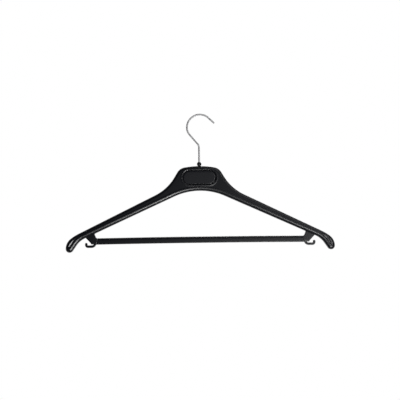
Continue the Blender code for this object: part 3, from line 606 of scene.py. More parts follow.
def front_at(points, edges, s):
    """Y of the moulding's front surface over (x, z) points."""
    section = s.section
    shoulder = round_off(distances(edges.top, points) / section.shoulder_width)
    low = distances(edges.low, points)
    width = bead_width(points, s)
    fade = ramp((points[:, 1] - edges.top[:, 1].min()) / section.groove_fade)
    deepening = section.groove_depth * reach_out(points, section.groove_reach)
    groove = section.face_sink + deepening * fade
    drop = section.bead_drop + section.bead_fall * reach_out(points, section.bead_reach)
    bead = drop * round_off(low / width)
    down = groove * ramp((low - width) / section.groove_width)
    up = (section.face_sink - groove) * ramp((low - width) / section.groove_width - 1)
    sink = bead + down + up
    return FRONT_Y + section.shoulder_drop * shoulder + sink * (1 - shoulder) - lip_at(points, s)


def edge_points(edges, inset, spans):
    """Facing (x, z) points of the top and the lower edge, each inset into the moulding."""
    pairs = []
    for span in range(spans):
        for step in range(STATIONS[span] + (span == spans - 1)):
            part = step / STATIONS[span]
            pair = []
            for points, ends, side in (
                (edges.top, edges.top_spans, -1),
                (edges.low, edges.low_spans, 1),
            ):
                along = ends[span] + part * (ends[span + 1] - ends[span])
                run = way_at(points, along)
                pair.append(at_length(points, along) + inset * side * np.array([-run[1], run[0]]))
            pairs.append(pair)
    for point in pairs[0]:
        point[0] = 0
    return pairs


def across_arm(pair, inset, between, s):
    """(x, z) points from the top edge to the lower edge, close together where the front bends."""
    section = s.section
    top, low = pair
    width = float(np.linalg.norm(low - top))
    bead = float(bead_width(np.array([low]), s)[0]) - inset
    from_top = (section.shoulder_width - inset) * close_at_first(SHOULDER_POINTS)
    groove = bead + 2 * section.groove_width * np.arange(1, GROOVE_POINTS + 1) / GROOVE_POINTS
    from_low = np.append(bead * close_at_first(BEAD_POINTS), groove)
    scale = min(1, width / (from_top[-1] + from_low[-1] + MERGE)) / max(width, MERGE)
    first, last = scale * from_top, 1 - scale * from_low[::-1]
    middle = np.linspace(first[-1], last[0], between + 1)[1:-1]
    parts = np.concatenate((first, middle, last))
    return top + (low - top) * parts[:, None]


def section_ring(pair, inset, depth, back, rounding, edges, s):
    """A ring across the arm, its front moved in by depth, and its back's corners rounded."""
    top, low = pair
    flat = across_arm(pair, inset, CORE_POINTS if depth else FACE_POINTS, s)
    front = front_at(flat, edges, s) + depth
    ring = [(x, y, z) for (x, z), y in zip(flat, front)]
    width = float(np.linalg.norm(low - top))
    radius = min(rounding, RIM_SHARE * width)
    inward = (top - low) / max(width, MERGE)
    corner = [(radius * deep, back - radius * across) for across, deep in quarter_round(RIM_POINTS)]
    for start, way, points in ((low, inward, corner), (top, -inward, corner[::-1])):
        for inside, y in points:
            x, z = start + inside * way
            ring.append((x, y, z))
    return ring


def both_sides(rings):
    """Rings of the right half, in order from its middle, joined to their mirror images."""
    left = [[(-x, y, z) for x, y, z in ring] for ring in rings[:0:-1]]
    return left + rings


def make_arms(edges, s):
    rounding = s.section.rim_round
    pairs = edge_points(edges, 0, len(STATIONS))
    rings = [section_ring(pair, 0, 0, BACK_Y, rounding, edges, s) for pair in pairs]
    return loft("moulding", both_sides(rings))


def make_arm_core(edges, s):
    """What is hollow behind the front skin and inside the walls, up to the tips' round ends."""
    section = s.section
    back = BACK_Y + OVERRUN
    pairs = edge_points(edges, section.wall, len(STATIONS) - 1)
    rings = [section_ring(pair, section.wall, section.skin, back, MERGE, edges, s) for pair in pairs]
    return loft("arm core", both_sides(rings))


def place_bar(edges, s):
    """Heights and ends of the trouser bar, and the four corners of the link on the right."""
    bar = s.bar
    outer_top = HALF_SPAN - bar.link_inset
    inner_top = outer_top - bar.link_top
    inner_foot = inner_top - bar.link_lean
    outer_foot = inner_foot + bar.link_foot

    def low_edge(x):
        return float(np.interp(x, edges.low[:, 0], edges.low[:, 1]))

    top = low_edge(inner_top) - bar.link_height
    foot = top - bar.height
    corners = [
        np.array([inner_top, low_edge(inner_top)]),
        np.array([inner_foot, top]),
        np.array([outer_foot, foot + bar.link_step]),
        np.array([outer_top, low_edge(outer_top)]),
    ]
    beside = np.array([inner_top - bar.link_top, low_edge(inner_top - bar.link_top)])
    return SimpleNamespace(top=top, foot=foot, end=inner_foot, link=corners, beside=beside)


def bar_lift(x, place, s):
    return s.bar.bow * max(0, 1 - (x / place.end) ** 2)


def bar_rings(half_length, outline, place, s):
    """Rings of a (y, z) outline along the bar, which bows up at its middle."""
    places = np.linspace(-half_length, half_length, BAR_STATIONS + 1)
    return [[(x, y, place.top + bar_lift(x, place, s) + z) for y, z in outline] for x in places]


def make_bar(place, s):
    bar = s.bar
    front, back = -bar.front, bar.depth - bar.front
    right = math.pi / 2
    outline = []
    for centre, radius, turn in (
        ((back - bar.back_round, bar.back_round - bar.height), bar.back_round, -right),
        ((back - bar.back_round, -bar.back_round), bar.back_round, 0),
        ((front + bar.top_round, -bar.top_round), bar.top_round, right),
        ((front + bar.foot_round, bar.foot_round - bar.height), bar.foot_round, 2 * right),
    ):
        outline += arc(centre, radius, np.linspace(turn, turn + right, ROUND_POINTS + 1))
    return loft("bar", bar_rings(place.end + bar.wall, outline, place, s))


def make_bar_core(place, s):
    bar = s.bar
    front, back = bar.wall - bar.front, bar.depth - bar.front + OVERRUN
    top, foot = -bar.wall, bar.wall - bar.height
    outline = [(back, foot), (back, top), (front, top), (front, foot)]
    return loft("bar core", bar_rings(place.end - bar.wall, outline, place, s))


def fillet(before, corner, after, radius):
    """Points of an arc that rounds the corner of an outline."""
    to_before, to_after = unit(before - corner), unit(after - corner)
    half = math.acos(float(to_before @ to_after)) / 2
    centre = corner + unit(to_before + to_after) * radius / math.sin(half)
    start = corner + to_before * radius / math.tan(half) - centre
    across = corner + to_after * radius / math.tan(half) - centre
    turn = math.pi - 2 * half
    side = across - start * math.cos(turn)
    arc_points = []
    for i in range(ROUND_POINTS + 1):
        part = turn * i / ROUND_POINTS
        arc_points.append(centre + start * math.cos(part) + side * math.sin(part) / math.sin(turn))
    return arc_points


def inset_outline(outline, distance):
    """A convex outline, drawn anticlockwise, with each side moved in by distance."""
    moved = []
    for i, point in enumerate(outline):
        lines = []
        for start, end in ((outline[i - 1], point), (point, outline[(i + 1) % len(outline)])):
            along = unit(end - start)
            lines.append((start + distance * np.array([-along[1], along[0]]), along))
        (first, along_first), (second, along_second) = lines
        reach = np.linalg.solve(np.column_stack((along_first, -along_second)), second - first)
        moved.append(first + reach[0] * along_first)
    return moved


def make_link(side, place, s):
    bar = s.bar
    inner_top, inner_foot, outer_foot, outer_top = place.link
    bar_side = inner_foot - np.array([bar.link_foot, 0])
    upper = fillet(place.beside, inner_top, inner_foot, bar.link_corner)
    lower = fillet(inner_top, inner_foot, bar_side, bar.link_fillet)
    lean = unit(outer_top - outer_foot)
    foot = place.foot + bar.foot_round / 2
    outline = [
        upper[0] + np.array([0, s.section.bead_width]),
        *upper,
        *lower,
        lower[-1] - np.array([0, bar.height / 2]),
        np.array([inner_foot[0], foot]),
        np.array([outer_foot[0], foot]),
        outer_foot,
        outer_top + lean * s.section.bead_width,
    ]
    front, back = -bar.front - bar.link_proud, bar.depth - bar.front
    link = prism("link", mirrored(outline, side), front, back)
    round_edges(link, bar.link_edge, clamp=False)
    return link


def make_link_core(side, place, s):
    bar = s.bar
    inner_top, inner_foot, outer_foot, outer_top = place.link
    low_left = np.array([inner_foot[0], place.foot])
    low_right = np.array([outer_foot[0] - bar.link_step, place.foot])
    outline = inset_outline([inner_top, inner_foot, low_left, low_right, outer_top], s.section.wall)
    front = s.section.wall - bar.front - bar.link_proud
    return prism("link core", mirrored(outline, side), front, bar.depth - bar.front + OVERRUN)


def make_skirt_hook(side, place, s):
    """A band bent up into a hook, with a round end."""
    bar = s.bar
    half = bar.hook_width / 2
    middle = (place.link[2][0] + bar.hook_reach, place.foot - bar.hook_drop)
    root = [(bar.hook_floor, 0), (bar.hook_root + half, -bar.hook_root_turn), (bar.wall, 0)]
    tip = [(bar.hook_tip + half, math.pi / 2), (bar.hook_rise, 0)]
    inward = trace(middle, math.pi, root, SKIRT_STEP)[0]
    outward = trace(middle, 0, tip, SKIRT_STEP)[0]
    line = np.concatenate((inward[:0:-1], outward))
    run = np.gradient(line, axis=0)
    normal = np.column_stack((-run[:, 1], run[:, 0])) / np.linalg.norm(run, axis=1)[:, None]
    inside, outside = line + half * normal, line - half * normal
    cap = arc(line[-1], half, [math.pi * i / CAP_POINTS for i in range(1, CAP_POINTS)])
    outline = [*outside, *cap, *inside[::-1]]
    front = -bar.hook_depth / 2
    hook = prism("skirt hook", mirrored(outline, side), front, -front)
    round_edges(hook, bar.hook_edge)
    return hook


def make_recess_back(s):
    """The walls and the floor of the label recess, behind the front skin."""
    label, section = s.label, s.section
    depths = recess_depths(s)
    half_width, half_height = label.width / 2 + section.wall, label.height / 2 + section.wall
    outline = recess_outline(label, half_width, half_height)
    return prism("recess back", outline, depths.face + section.skin / 2, depths.floor_back)


def make_recess_cut(s):
    """The recess, with a rounded mouth where it opens in the face."""
    label = s.label
    depths = recess_depths(s)
    edge = depths.face - s.section.lip_height
    levels = [(label.mouth, FRONT_Y - OVERRUN)]
    for across, deep in quarter_round(MOUTH_POINTS):
        levels.append((label.mouth * across, edge + label.mouth_depth * deep))
    levels.append((0, depths.floor))
    rings = []
    for out, y in levels:
        outline = recess_outline(label, label.width / 2 + out, label.height / 2 + out)
        rings.append([(x, y, z) for x, z in outline])
    return loft("recess", rings)


def seat_sizes(hook):
    """Radii and heights of the hook's bush and of its seat."""
    bore = hook.wire / 2 + hook.swivel_gap
    sleeve = bore + hook.sleeve_wall
    flange = sleeve + hook.flange_rim
    height = hook.flange_floor + hook.head_height + 2 * hook.swivel_gap + hook.flange_roof
    top = -hook.seat_roof - hook.gap
    return SimpleNamespace(
        bore=bore,
        sleeve=sleeve,
        flange=flange,
        top=top,
        foot=top - height,
        radius=flange + hook.seat_gap,
        floor=top - height - hook.seat_spare,
    )


def make_seat_block(s):
    """The block behind the front skin that the bush sits in."""
    seat = seat_sizes(s.hook)
    section = s.section
    half = seat.radius + s.hook.seat_wall
    front = recess_depths(s).face + section.skin / 2
    top, low = -section.wall / 2, seat.floor - s.hook.seat_wall
    slope = [(front, -section.shoulder_width), (front + section.shoulder_drop / 2, top)]
    side = slope + [(half, top), (half, low), (front, low)]
    return loft("seat block", [[(x, y, z) for y, z in side] for x in (-half, half)])


def make_seat_slot(s):
    """Keyhole for the sleeve: a round bore with a narrower slot to the front."""
    seat = seat_sizes(s.hook)
    bore = seat.sleeve + s.hook.gap
    lip = seat.sleeve - s.hook.snap
    start = math.acos(lip / bore)
    outline = arc((0, 0), bore, np.linspace(-start, math.pi + start, BUSH_SIDES + 1))
    outline += [(-lip, FRONT_Y - OVERRUN), (lip, FRONT_Y - OVERRUN)]
    return loft("seat slot", [[(x, y, z) for x, y in outline] for z in (seat.top, OVERRUN)])


def make_seat_chamber(s):
    """Room for the bush's flange, open to the recess and closed by the label plate."""
    seat = seat_sizes(s.hook)
    x, roof = seat.radius, -s.hook.seat_roof
    outline = [(-x, seat.floor), (x, seat.floor), (x, roof), (-x, roof)]
    return prism("seat chamber", outline, recess_depths(s).plate_back, seat.radius)


def peg_place(side, label):
    return side * label.peg_place * (label.width / 2 - label.end_gap), recess_middle(label)


def make_peg_hole(side, s):
    label = s.label
    depths = recess_depths(s)
    outline = circle(label.peg_radius + label.peg_gap, PEG_SIDES, peg_place(side, label))
    return prism("peg hole", outline, depths.plate_back, depths.floor_back + OVERRUN)


def sunk(line, along, run, inset):
    """Distance along a rib that takes its end to the depth inset, square to an edge."""
    edge = way_at(line, along)
    return inset / abs(edge[0] * run[1] - edge[1] * run[0])


def rib_lines(edges, s):
    """Ends of the middle line of each zigzag rib of the arms, as pairs of (x, z) points."""
    section = s.section
    span = edges.top_spans[3]
    start = section.rib_start * span
    pitch = (section.rib_end - section.rib_start) * span / section.rib_count
    scale = edges.low_spans[3] / span
    lines = []
    for i in range(section.rib_count):
        first = start + i * pitch + section.rib_gap / 2
        last = start + (i + 1) * pitch - section.rib_gap / 2
        top_along, low_along = (first, last) if i % 2 else (last, first)
        top = at_length(edges.top, top_along)
        low = at_length(edges.low, low_along * scale)
        run = unit(low - top)
        top = top + run * sunk(edges.top, top_along, run, section.rib_inset)
        low = low - run * sunk(edges.low, low_along * scale, run, section.rib_inset)
        for side in (1, -1):
            flip = np.array([side, 1])
            lines.append((top * flip, low * flip))
    return lines


def bar_rib_lines(place, s):
    """The same for the upright ribs of the trouser bar."""
    bar = s.bar
    lines = []
    for i in range(bar.rib_count):
        x = place.end * (2 * (i + 1) / (bar.rib_count + 1) - 1)
        lift = bar_lift(x, place, s)
        top = place.top + lift - bar.wall / 2
        low = place.foot + lift + bar.wall / 2
        lines.append((np.array([x, top]), np.array([x, low])))
    return lines


def add_node(tree, kind, inputs=(), **options):
    """A node with its options set, and its inputs given as (socket, value or output) pairs."""
    node = tree.nodes.new(kind)
    for name, value in options.items():
        setattr(node, name, value)
    for socket, value in inputs:
        if isinstance(value, bpy.types.NodeSocket):
            tree.links.new(value, node.inputs[socket])
        else:
            node.inputs[socket].default_value = value
    return node


def new_tree(name, kind, inputs, outputs):
    """A node tree with inputs given as (name, kind of socket, value) and outputs as (name, kind).

    Also gives the sockets that the tree's own nodes take from, and those that they give to. An
    input without a value gets it where the tree is used.
    """
    tree = bpy.data.node_groups.new(name, kind)
    for label, socket_type, *value in inputs:
        socket = tree.interface.new_socket(label, in_out="INPUT", socket_type=socket_type)
        if value:
            socket.default_value = value[0]
    for label, socket_type in outputs:
        tree.interface.new_socket(label, in_out="OUTPUT", socket_type=socket_type)
    return tree, add_node(tree, "NodeGroupInput").outputs, add_node(tree, "NodeGroupOutput").inputs


def run_tree(obj, tree, values):
    """Runs a geometry tree on an object, with the inputs named in values, and keeps the result."""
    modifier = obj.modifiers.new(tree.name, "NODES")
    modifier.node_group = tree
    for item in tree.interface.items_tree:
        if item.in_out == "INPUT" and item.name in values:
            modifier[item.identifier] = values[item.name]
    make_plain(obj)


def keep_value(tree, geometry, domain, kind, value):
    """Holds a value on a geometry. Gives the geometry with it, and the held value."""
    node = add_node(tree, "GeometryNodeCaptureAttribute", [("Geometry", geometry)], domain=domain)
    node.capture_items.new(kind, "Held")
    tree.links.new(value, node.inputs["Held"])
    return node.outputs["Geometry"], node.outputs["Held"]


def build_rib_tree(material):
    """Puts a flat rib on each edge of a mesh that lies in the plane of X and Z."""
    inputs = [("Geometry", GEOMETRY), ("Thickness", NUMBER), ("Depth", NUMBER)]
    tree, given, out = new_tree(
        "ribs on lines", "GeometryNodeTree", inputs, [("Geometry", GEOMETRY)]
    )
    ends = add_node(tree, "GeometryNodeInputMeshEdgeVertices").outputs
    inputs = [(0, ends["Position 2"]), (1, ends["Position 1"])]
    run = add_node(tree, "ShaderNodeVectorMath", inputs, operation="SUBTRACT").outputs[0]
    lines, along = keep_value(tree, given["Geometry"], "EDGE", "VECTOR", run)
    dots = add_node(tree, "GeometryNodeMeshToPoints", [("Mesh", lines)], mode="EDGES")
    turn = add_node(
        tree, "FunctionNodeAlignRotationToVector", [("Vector", along)], axis="X", pivot_axis="Y"
    )
    size = add_node(tree, "ShaderNodeVectorMath", [(0, along)], operation="LENGTH")
    inputs = [("X", size.outputs["Value"]), ("Y", given["Depth"]), ("Z", given["Thickness"])]
    scale = add_node(tree, "ShaderNodeCombineXYZ", inputs)
    block = add_node(tree, "GeometryNodeMeshCube", [("Size", (1, 1, 1))])
    inputs = [
        ("Points", dots.outputs["Points"]),
        ("Instance", block.outputs["Mesh"]),
        ("Rotation", turn.outputs["Rotation"]),
        ("Scale", scale.outputs["Vector"]),
    ]
    ribs = add_node(tree, "GeometryNodeInstanceOnPoints", inputs)
    end_tree(tree, out, ribs.outputs["Instances"], material)
    return tree


def end_tree(tree, out, geometry, material):
    real = add_node(tree, "GeometryNodeRealizeInstances", [("Geometry", geometry)])
    inputs = [("Geometry", real.outputs["Geometry"]), ("Material", material)]
    painted = add_node(tree, "GeometryNodeSetMaterial", inputs)
    tree.links.new(painted.outputs["Geometry"], out["Geometry"])


def make_ribs(name, lines, front, back, thickness, tree):
    """The ribs along the lines, from front to back."""
    middle = (front + back) / 2
    points = [(x, middle, z + TOP_Z) for line in lines for x, z in line]
    obj = mesh_object(name, points, [(i, i + 1) for i in range(0, len(points), 2)], [])
    run_tree(obj, tree, {"Thickness": thickness, "Depth": back - front})
    return obj


def mark_edges(obj, edges, s):
    """Writes how exposed each point is to rubbing, from 0 to 1, as the attribute "rubbed"."""
    finish = s.finish
    points = np.empty(len(obj.data.vertices) * 3, np.float32)
    obj.data.vertices.foreach_get("co", points)
    points = points.reshape(-1, 3).astype(float)
    flat = np.column_stack((points[:, 0], points[:, 2] - TOP_Z))
    from_crest = distances(edges.low, flat) - bead_width(flat, s)
    front = points[:, 1] < 0
    crest = np.exp(-((from_crest / finish.crest_wear) ** 2)) * front
    top = np.exp(-((distances(edges.top, flat) / finish.top_wear) ** 2)) * front
    rim = points[:, 1] > BACK_Y - finish.rim_wear
    values = np.clip(crest + finish.top_share * top + finish.rim_share * rim, 0, 1)
    attribute = obj.data.attributes.new("rubbed", "FLOAT", "POINT")
    attribute.data.foreach_set("value", values.astype(np.float32))


def make_moulding(s):
    """The whole moulding: full blocks are joined, hollowed, given ribs and seats, then cut."""
    plastic = make_plastic("black plastic", s.finish.plastic, s.finish.plastic_rough, s.finish)
    edges = trace_edges(s.outline)
    place = place_bar(edges, s)
    section, bar = s.section, s.bar
    moulding = make_arms(edges, s)
    blocks = [make_bar(place, s)]
    cores = [make_arm_core(edges, s), make_bar_core(place, s)]
    for side in (1, -1):
        blocks += [make_link(side, place, s), make_skirt_hook(side, place, s)]
        cores.append(make_link_core(side, place, s))
    tree = build_rib_tree(plastic)
    arm_front, arm_back = FRONT_Y + section.rib_front, BACK_Y - section.rib_sink
    bar_front, bar_back = bar.wall / 2 - bar.front, bar.depth - bar.front - section.rib_sink / 2
    thickness = section.rib_thickness
    ribs = [
        make_ribs("arm ribs", rib_lines(edges, s), arm_front, arm_back, thickness, tree),
        make_ribs("bar ribs", bar_rib_lines(place, s), bar_front, bar_back, thickness, tree),
    ]
    seats = [make_recess_back(s), make_seat_block(s)]
    cuts = [make_recess_cut(s), make_seat_slot(s), make_seat_chamber(s)]
    cuts += [make_peg_hole(side, s) for side in (1, -1)]
    combine(moulding, "UNION", blocks)
    combine(moulding, "DIFFERENCE", cores)
    combine(moulding, "UNION", ribs + seats)
    combine(moulding, "DIFFERENCE", cuts)
    mark_edges(moulding, edges, s)
    shade(moulding, plastic)
    return moulding


def make_label_plate(s):
    """A blank plate with a rounded border, on two pegs that press into the recess's floor."""
    plastic = make_plastic("label plastic", s.finish.plate, s.finish.plate_rough, s.finish)
    label = s.label
    depths = recess_depths(s)
    front, back = depths.plate, depths.plate_back
    half_width, half_height = label.width / 2 - label.end_gap, label.height / 2 - label.gap
    levels = []
    for across, deep in quarter_round(CROWN_POINTS):
        y = front + label.crown_depth * deep
        levels.append((label.crown_width * across, label.crown_shift * across, y))
    levels += [(0, 0, back - label.back_edge), (label.back_edge, 0, back)]
    rings = []
    for inset, shift, y in levels:
        outline = recess_outline(label, half_width - inset, half_height - inset)
        rings.append([(x, y, z - shift) for x, z in outline])
    plate = loft("label_plate_face", rings)
    peg_end = depths.floor_back + label.peg_stand
    pegs = []
    for side in (1, -1):
        outline = circle(label.peg_radius, PEG_SIDES, peg_place(side, label))
        pegs.append(prism("peg", outline, (front + back) / 2, peg_end))
        round_edges(pegs[-1], label.peg_edge)
    combine(plate, "UNION", pegs)
    shade(plate, plastic)
    return plate


def make_tongue(s):
    """Fills the slot in front of the sleeve, its face level with the moulding's."""
    hook, label = s.hook, s.label
    seat = seat_sizes(hook)
    half = seat.sleeve - hook.snap - hook.gap
    middle = (seat.bore + seat.sleeve) / 2
    start = math.acos(half / middle)
    back = arc((0, 0), -middle, np.linspace(start, math.pi - start, ROUND_POINTS + 1))
    drops = s.section.shoulder_width * close_at_first(SHOULDER_POINTS)
    mouth = label.drop - hook.tongue_sink - label.mouth * np.linspace(1, 0, MOUTH_POINTS)
    drops = np.append(drops, mouth)
    middle_line = np.column_stack((0 * drops, -drops))
    fronts = front_at(middle_line, trace_edges(s.outline), s) + hook.tongue_sink
    fronts += label.mouth_depth * round_off((label.drop - drops) / label.mouth)
    rings = []
    for drop, front in zip(drops, fronts):
        outline = [*back, (half, front), (-half, front)]
        rings.append([(x, y, -drop - hook.tongue_sink) for x, y in outline])
    return loft("tongue", rings)


def make_bush(s):
    """Ball, sleeve, flange and tongue outside; inside, the bore and the room for the wire's head."""
    plastic = make_plastic("bush plastic", s.finish.bush, s.finish.bush_rough, s.finish)
    hook = s.hook
    seat = seat_sizes(hook)
    foot = seat.sleeve + hook.ball_foot
    centre = hook.gap + math.sqrt(hook.ball_radius**2 - foot**2)
    profile = [
        (seat.flange - hook.bush_edge, seat.foot),
        (seat.flange, seat.foot + hook.bush_edge),
        (seat.flange, seat.top - hook.bush_edge),
        (seat.flange - hook.bush_edge, seat.top),
        (seat.sleeve, seat.top),
        (seat.sleeve, hook.gap),
    ]
    first = math.asin(foot / hook.ball_radius) - math.pi
    last = -math.asin(seat.bore / hook.ball_radius)
    for turn in np.linspace(first, last, BALL_RINGS + 1):
        height = centre + hook.ball_radius * math.cos(turn)
        profile.append((-hook.ball_radius * math.sin(turn), height))
    room = seat.foot + hook.flange_floor
    room_top = room + hook.head_height + 2 * hook.swivel_gap
    room_radius = hook.wire / 2 + hook.head_rim + hook.swivel_gap
    profile += [(seat.bore, room_top), (room_radius, room_top), (room_radius, room)]
    rings = [[(x, y, z) for x, y in circle(radius, BUSH_SIDES)] for radius, z in profile]
    bush = loft("hook_bush_ball", rings)
    combine(bush, "UNION", [make_tongue(s)])
    shade(bush, plastic)
    return bush


def wire_line(hook):
    """The wire's centre line above the moulding, as (x, z) points."""
    runs = [
        (hook.shaft, 0),
        (hook.neck_radius, hook.neck_turn),
        (hook.neck_length, 0),
        (hook.back_radius, -hook.back_turn),
        (hook.rail_radius, -hook.rail_turn),
        (hook.lip_radius, -hook.lip_turn),
        (hook.lip_length, 0),
    ]
    return trace((0, 0), math.pi / 2, runs, WIRE_STEP)[0]


def build_wire_tree(material):
    """Sweeps a round wire along a line of points, scaled at each point by its "thickness"."""
    inputs = [("Geometry", GEOMETRY), ("Radius", NUMBER), ("Sides", INTEGER)]
    tree, given, out = new_tree(
        "wire along a line", "GeometryNodeTree", inputs, [("Geometry", GEOMETRY)]
    )
    curve = add_node(tree, "GeometryNodeMeshToCurve", [("Mesh", given["Geometry"])])
    spline = add_node(tree, "GeometryNodeSplineParameter").outputs
    path, along = keep_value(tree, curve.outputs["Curve"], "POINT", "FLOAT", spline["Length"])
    inputs = [("Resolution", given["Sides"]), ("Radius", given["Radius"])]
    ring = add_node(tree, "GeometryNodeCurvePrimitiveCircle", inputs)
    profile, around = keep_value(tree, ring.outputs["Curve"], "POINT", "FLOAT", spline["Factor"])
    thickness = add_node(tree, "GeometryNodeInputNamedAttribute", [("Name", "thickness")])
    inputs = [
        ("Curve", path),
        ("Profile Curve", profile),
        ("Scale", thickness.outputs["Attribute"]),
        ("Fill Caps", True),
    ]
    geometry = add_node(tree, "GeometryNodeCurveToMesh", inputs).outputs["Mesh"]
    for label, output in (("along", along), ("round", around)):
        inputs = [("Geometry", geometry), ("Name", label), ("Value", output)]
        stored = add_node(tree, "GeometryNodeStoreNamedAttribute", inputs, domain="POINT")
        geometry = stored.outputs["Geometry"]
    end_tree(tree, out, geometry, material)
    return tree


def make_wire(s):
    """The bent wire, from the upset head in the bush to its rounded free end."""
    steel = make_steel(s.finish)
    hook = s.hook
    head = seat_sizes(hook).foot + hook.flange_floor + hook.swivel_gap
    neck = head + hook.head_height
    radius = hook.wire / 2
    wide = 1 + hook.head_rim / radius
    line = wire_line(hook)
    points = [(0, head), (0, neck), (0, neck + LEDGE), *line[:-1]]
    thickness = [wide, wide] + [1] * (len(points) - 2)
    end_run = unit(line[-1] - line[-2])
    for across, deep in quarter_round(ROUND_POINTS):
        points.append(line[-1] - hook.end_round * across * end_run)
        thickness.append(1 - hook.end_round * deep / radius)
    edges = [(i, i + 1) for i in range(len(points) - 1)]
    wire = mesh_object("hook_wire_bent", [(x, 0, z + TOP_Z) for x, z in points], edges, [])
    attribute = wire.data.attributes.new("thickness", "FLOAT", "POINT")
    attribute.data.foreach_set("value", thickness)
    run_tree(wire, build_wire_tree(steel), {"Radius": radius, "Sides": WIRE_SIDES})
    clean(wire.data)
    shade(wire, steel)
    return wire


def noise(tree, vector, scale, detail, roughness=0.5):
    inputs = [("Vector", vector), ("Scale", scale), ("Detail", detail), ("Roughness", roughness)]
    return add_node(tree, "ShaderNodeTexNoise", inputs).outputs[0]


def calculate(tree, operation, first, second=None, clamp=False):
    inputs = [(0, first)] if second is None else [(0, first), (1, second)]
    return add_node(tree, "ShaderNodeMath", inputs, operation=operation, use_clamp=clamp).outputs[0]


def build_grain_group():
    """Fine moulded grain over the slow unevenness that plastic takes as it cools."""
    inputs = [
        ("Grains per metre", NUMBER, 2200.0),
        ("Waves per metre", NUMBER, 45.0),
        ("Blotches per metre", NUMBER, 160.0),
        ("Wave share", NUMBER, 0.8),
    ]
    outputs = [("Height", NUMBER), ("Mottle", NUMBER)]
    group, given, out = new_tree("moulded grain", "ShaderNodeTree", inputs, outputs)
    place = add_node(group, "ShaderNodeTexCoord").outputs["Object"]
    fine = noise(group, place, given["Grains per metre"], detail=2.0)
    waves = noise(group, place, given["Waves per metre"], detail=1.0)
    blotch = noise(group, place, given["Blotches per metre"], detail=3.0, roughness=0.6)
    slow = calculate(group, "MULTIPLY", waves, given["Wave share"])
    rest = calculate(group, "SUBTRACT", 1.0, given["Wave share"])
    quick = calculate(group, "MULTIPLY", fine, rest)
    group.links.new(calculate(group, "ADD", slow, quick), out["Height"])
    group.links.new(blotch, out["Mottle"])
    return group


def build_wear_group():
    """Where edges are rubbed: the attribute "rubbed", broken up by noise."""
    inputs = [("Patches per metre", NUMBER, 60.0), ("Amount", NUMBER, 0.5)]
    group, given, out = new_tree("rubbed edges", "ShaderNodeTree", inputs, [("Mask", NUMBER)])
    place = add_node(group, "ShaderNodeTexCoord").outputs["Object"]
    exposed = add_node(group, "ShaderNodeAttribute", attribute_name="rubbed").outputs["Fac"]
    patches = noise(group, place, given["Patches per metre"], detail=4.0, roughness=0.65)
    broken = calculate(group, "MULTIPLY", exposed, patches)
    strong = calculate(group, "MULTIPLY", broken, given["Amount"], clamp=True)
    group.links.new(strong, out["Mask"])
    return group


def build_drawn_group():
    """Faint marks that run along a drawn wire, from its attributes "along" and "round"."""
    inputs = [("Marks round", NUMBER, 26.0), ("Marks along", NUMBER, 55.0)]
    group, given, out = new_tree("drawn wire", "ShaderNodeTree", inputs, [("Mask", NUMBER)])
    along = add_node(group, "ShaderNodeAttribute", attribute_name="along").outputs["Fac"]
    around = add_node(group, "ShaderNodeAttribute", attribute_name="round").outputs["Fac"]
    turn = calculate(group, "MULTIPLY", around, 2 * math.pi)
    reach = calculate(group, "DIVIDE", given["Marks round"], 2 * math.pi)
    x = calculate(group, "MULTIPLY", calculate(group, "COSINE", turn), reach)
    y = calculate(group, "MULTIPLY", calculate(group, "SINE", turn), reach)
    z = calculate(group, "MULTIPLY", along, given["Marks along"])
    place = add_node(group, "ShaderNodeCombineXYZ", [("X", x), ("Y", y), ("Z", z)])
    marks = noise(group, place.outputs["Vector"], 1.0, detail=3.0, roughness=0.6)
    group.links.new(marks, out["Mask"])
    return group


def shared_effect(tree, name, build, inputs=()):
    """The outputs of a shader group that all materials share, with this material's inputs."""
    group = bpy.data.node_groups.get(name) or build()
    return add_node(tree, "ShaderNodeGroup", inputs, node_tree=group).outputs


def new_material(name, roughness, metallic=0.0):
    """A material's tree and its shader, with the uniform values set on the shader itself."""
    material = bpy.data.materials.new(name)
    material.use_nodes = True
    tree = material.node_tree
    shader = tree.nodes["Principled BSDF"]
    shader.inputs["Roughness"].default_value = roughness
    shader.inputs["Metallic"].default_value = metallic
    return material, tree, shader


def spread(tree, mask, value, part):
    """A value varied by a mask: less that part of it where the mask is 0, as much more at 1."""
    ends = [("To Min", value * (1 - part)), ("To Max", value * (1 + part))]
    return add_node(tree, "ShaderNodeMapRange", [("Value", mask), *ends]).outputs["Result"]


def blend(tree, mask, first, second):
    """Two colours mixed by a mask."""
    inputs = [("Factor", mask), ("A", (*first, 1)), ("B", (*second, 1))]
    return add_node(tree, "ShaderNodeMix", inputs, data_type="RGBA").outputs["Result"]


def join_finish(tree, shader, tint, rough, height, depth):
    """Gives the shader a colour, a roughness, and a relief of the given depth."""
    bump = add_node(tree, "ShaderNodeBump", [("Height", height), ("Distance", depth)])
    tree.links.new(tint, shader.inputs["Base Color"])
    tree.links.new(rough, shader.inputs["Roughness"])
    tree.links.new(bump.outputs["Normal"], shader.inputs["Normal"])


def make_plastic(name, base, roughness, finish):
    """Moulded black plastic: fine grain, slow unevenness, and edges rubbed where it is marked."""
    material, tree, shader = new_material(name, roughness)
    depth = finish.grain_depth + finish.flow_depth
    grains = [("Grains per metre", finish.grain / MM), ("Wave share", finish.flow_depth / depth)]
    grain = shared_effect(tree, "moulded grain", build_grain_group, grains)
    wear = [("Amount", finish.wear)]
    rubbed = shared_effect(tree, "rubbed edges", build_wear_group, wear)["Mask"]
    rough = spread(tree, grain["Mottle"], roughness, finish.plastic_spread)
    worn_rough = calculate(tree, "MULTIPLY", rubbed, finish.worn_rough)
    rough = calculate(tree, "ADD", rough, worn_rough)
    tint = blend(tree, rubbed, base, finish.worn)
    join_finish(tree, shader, tint, rough, grain["Height"], depth)
    return material


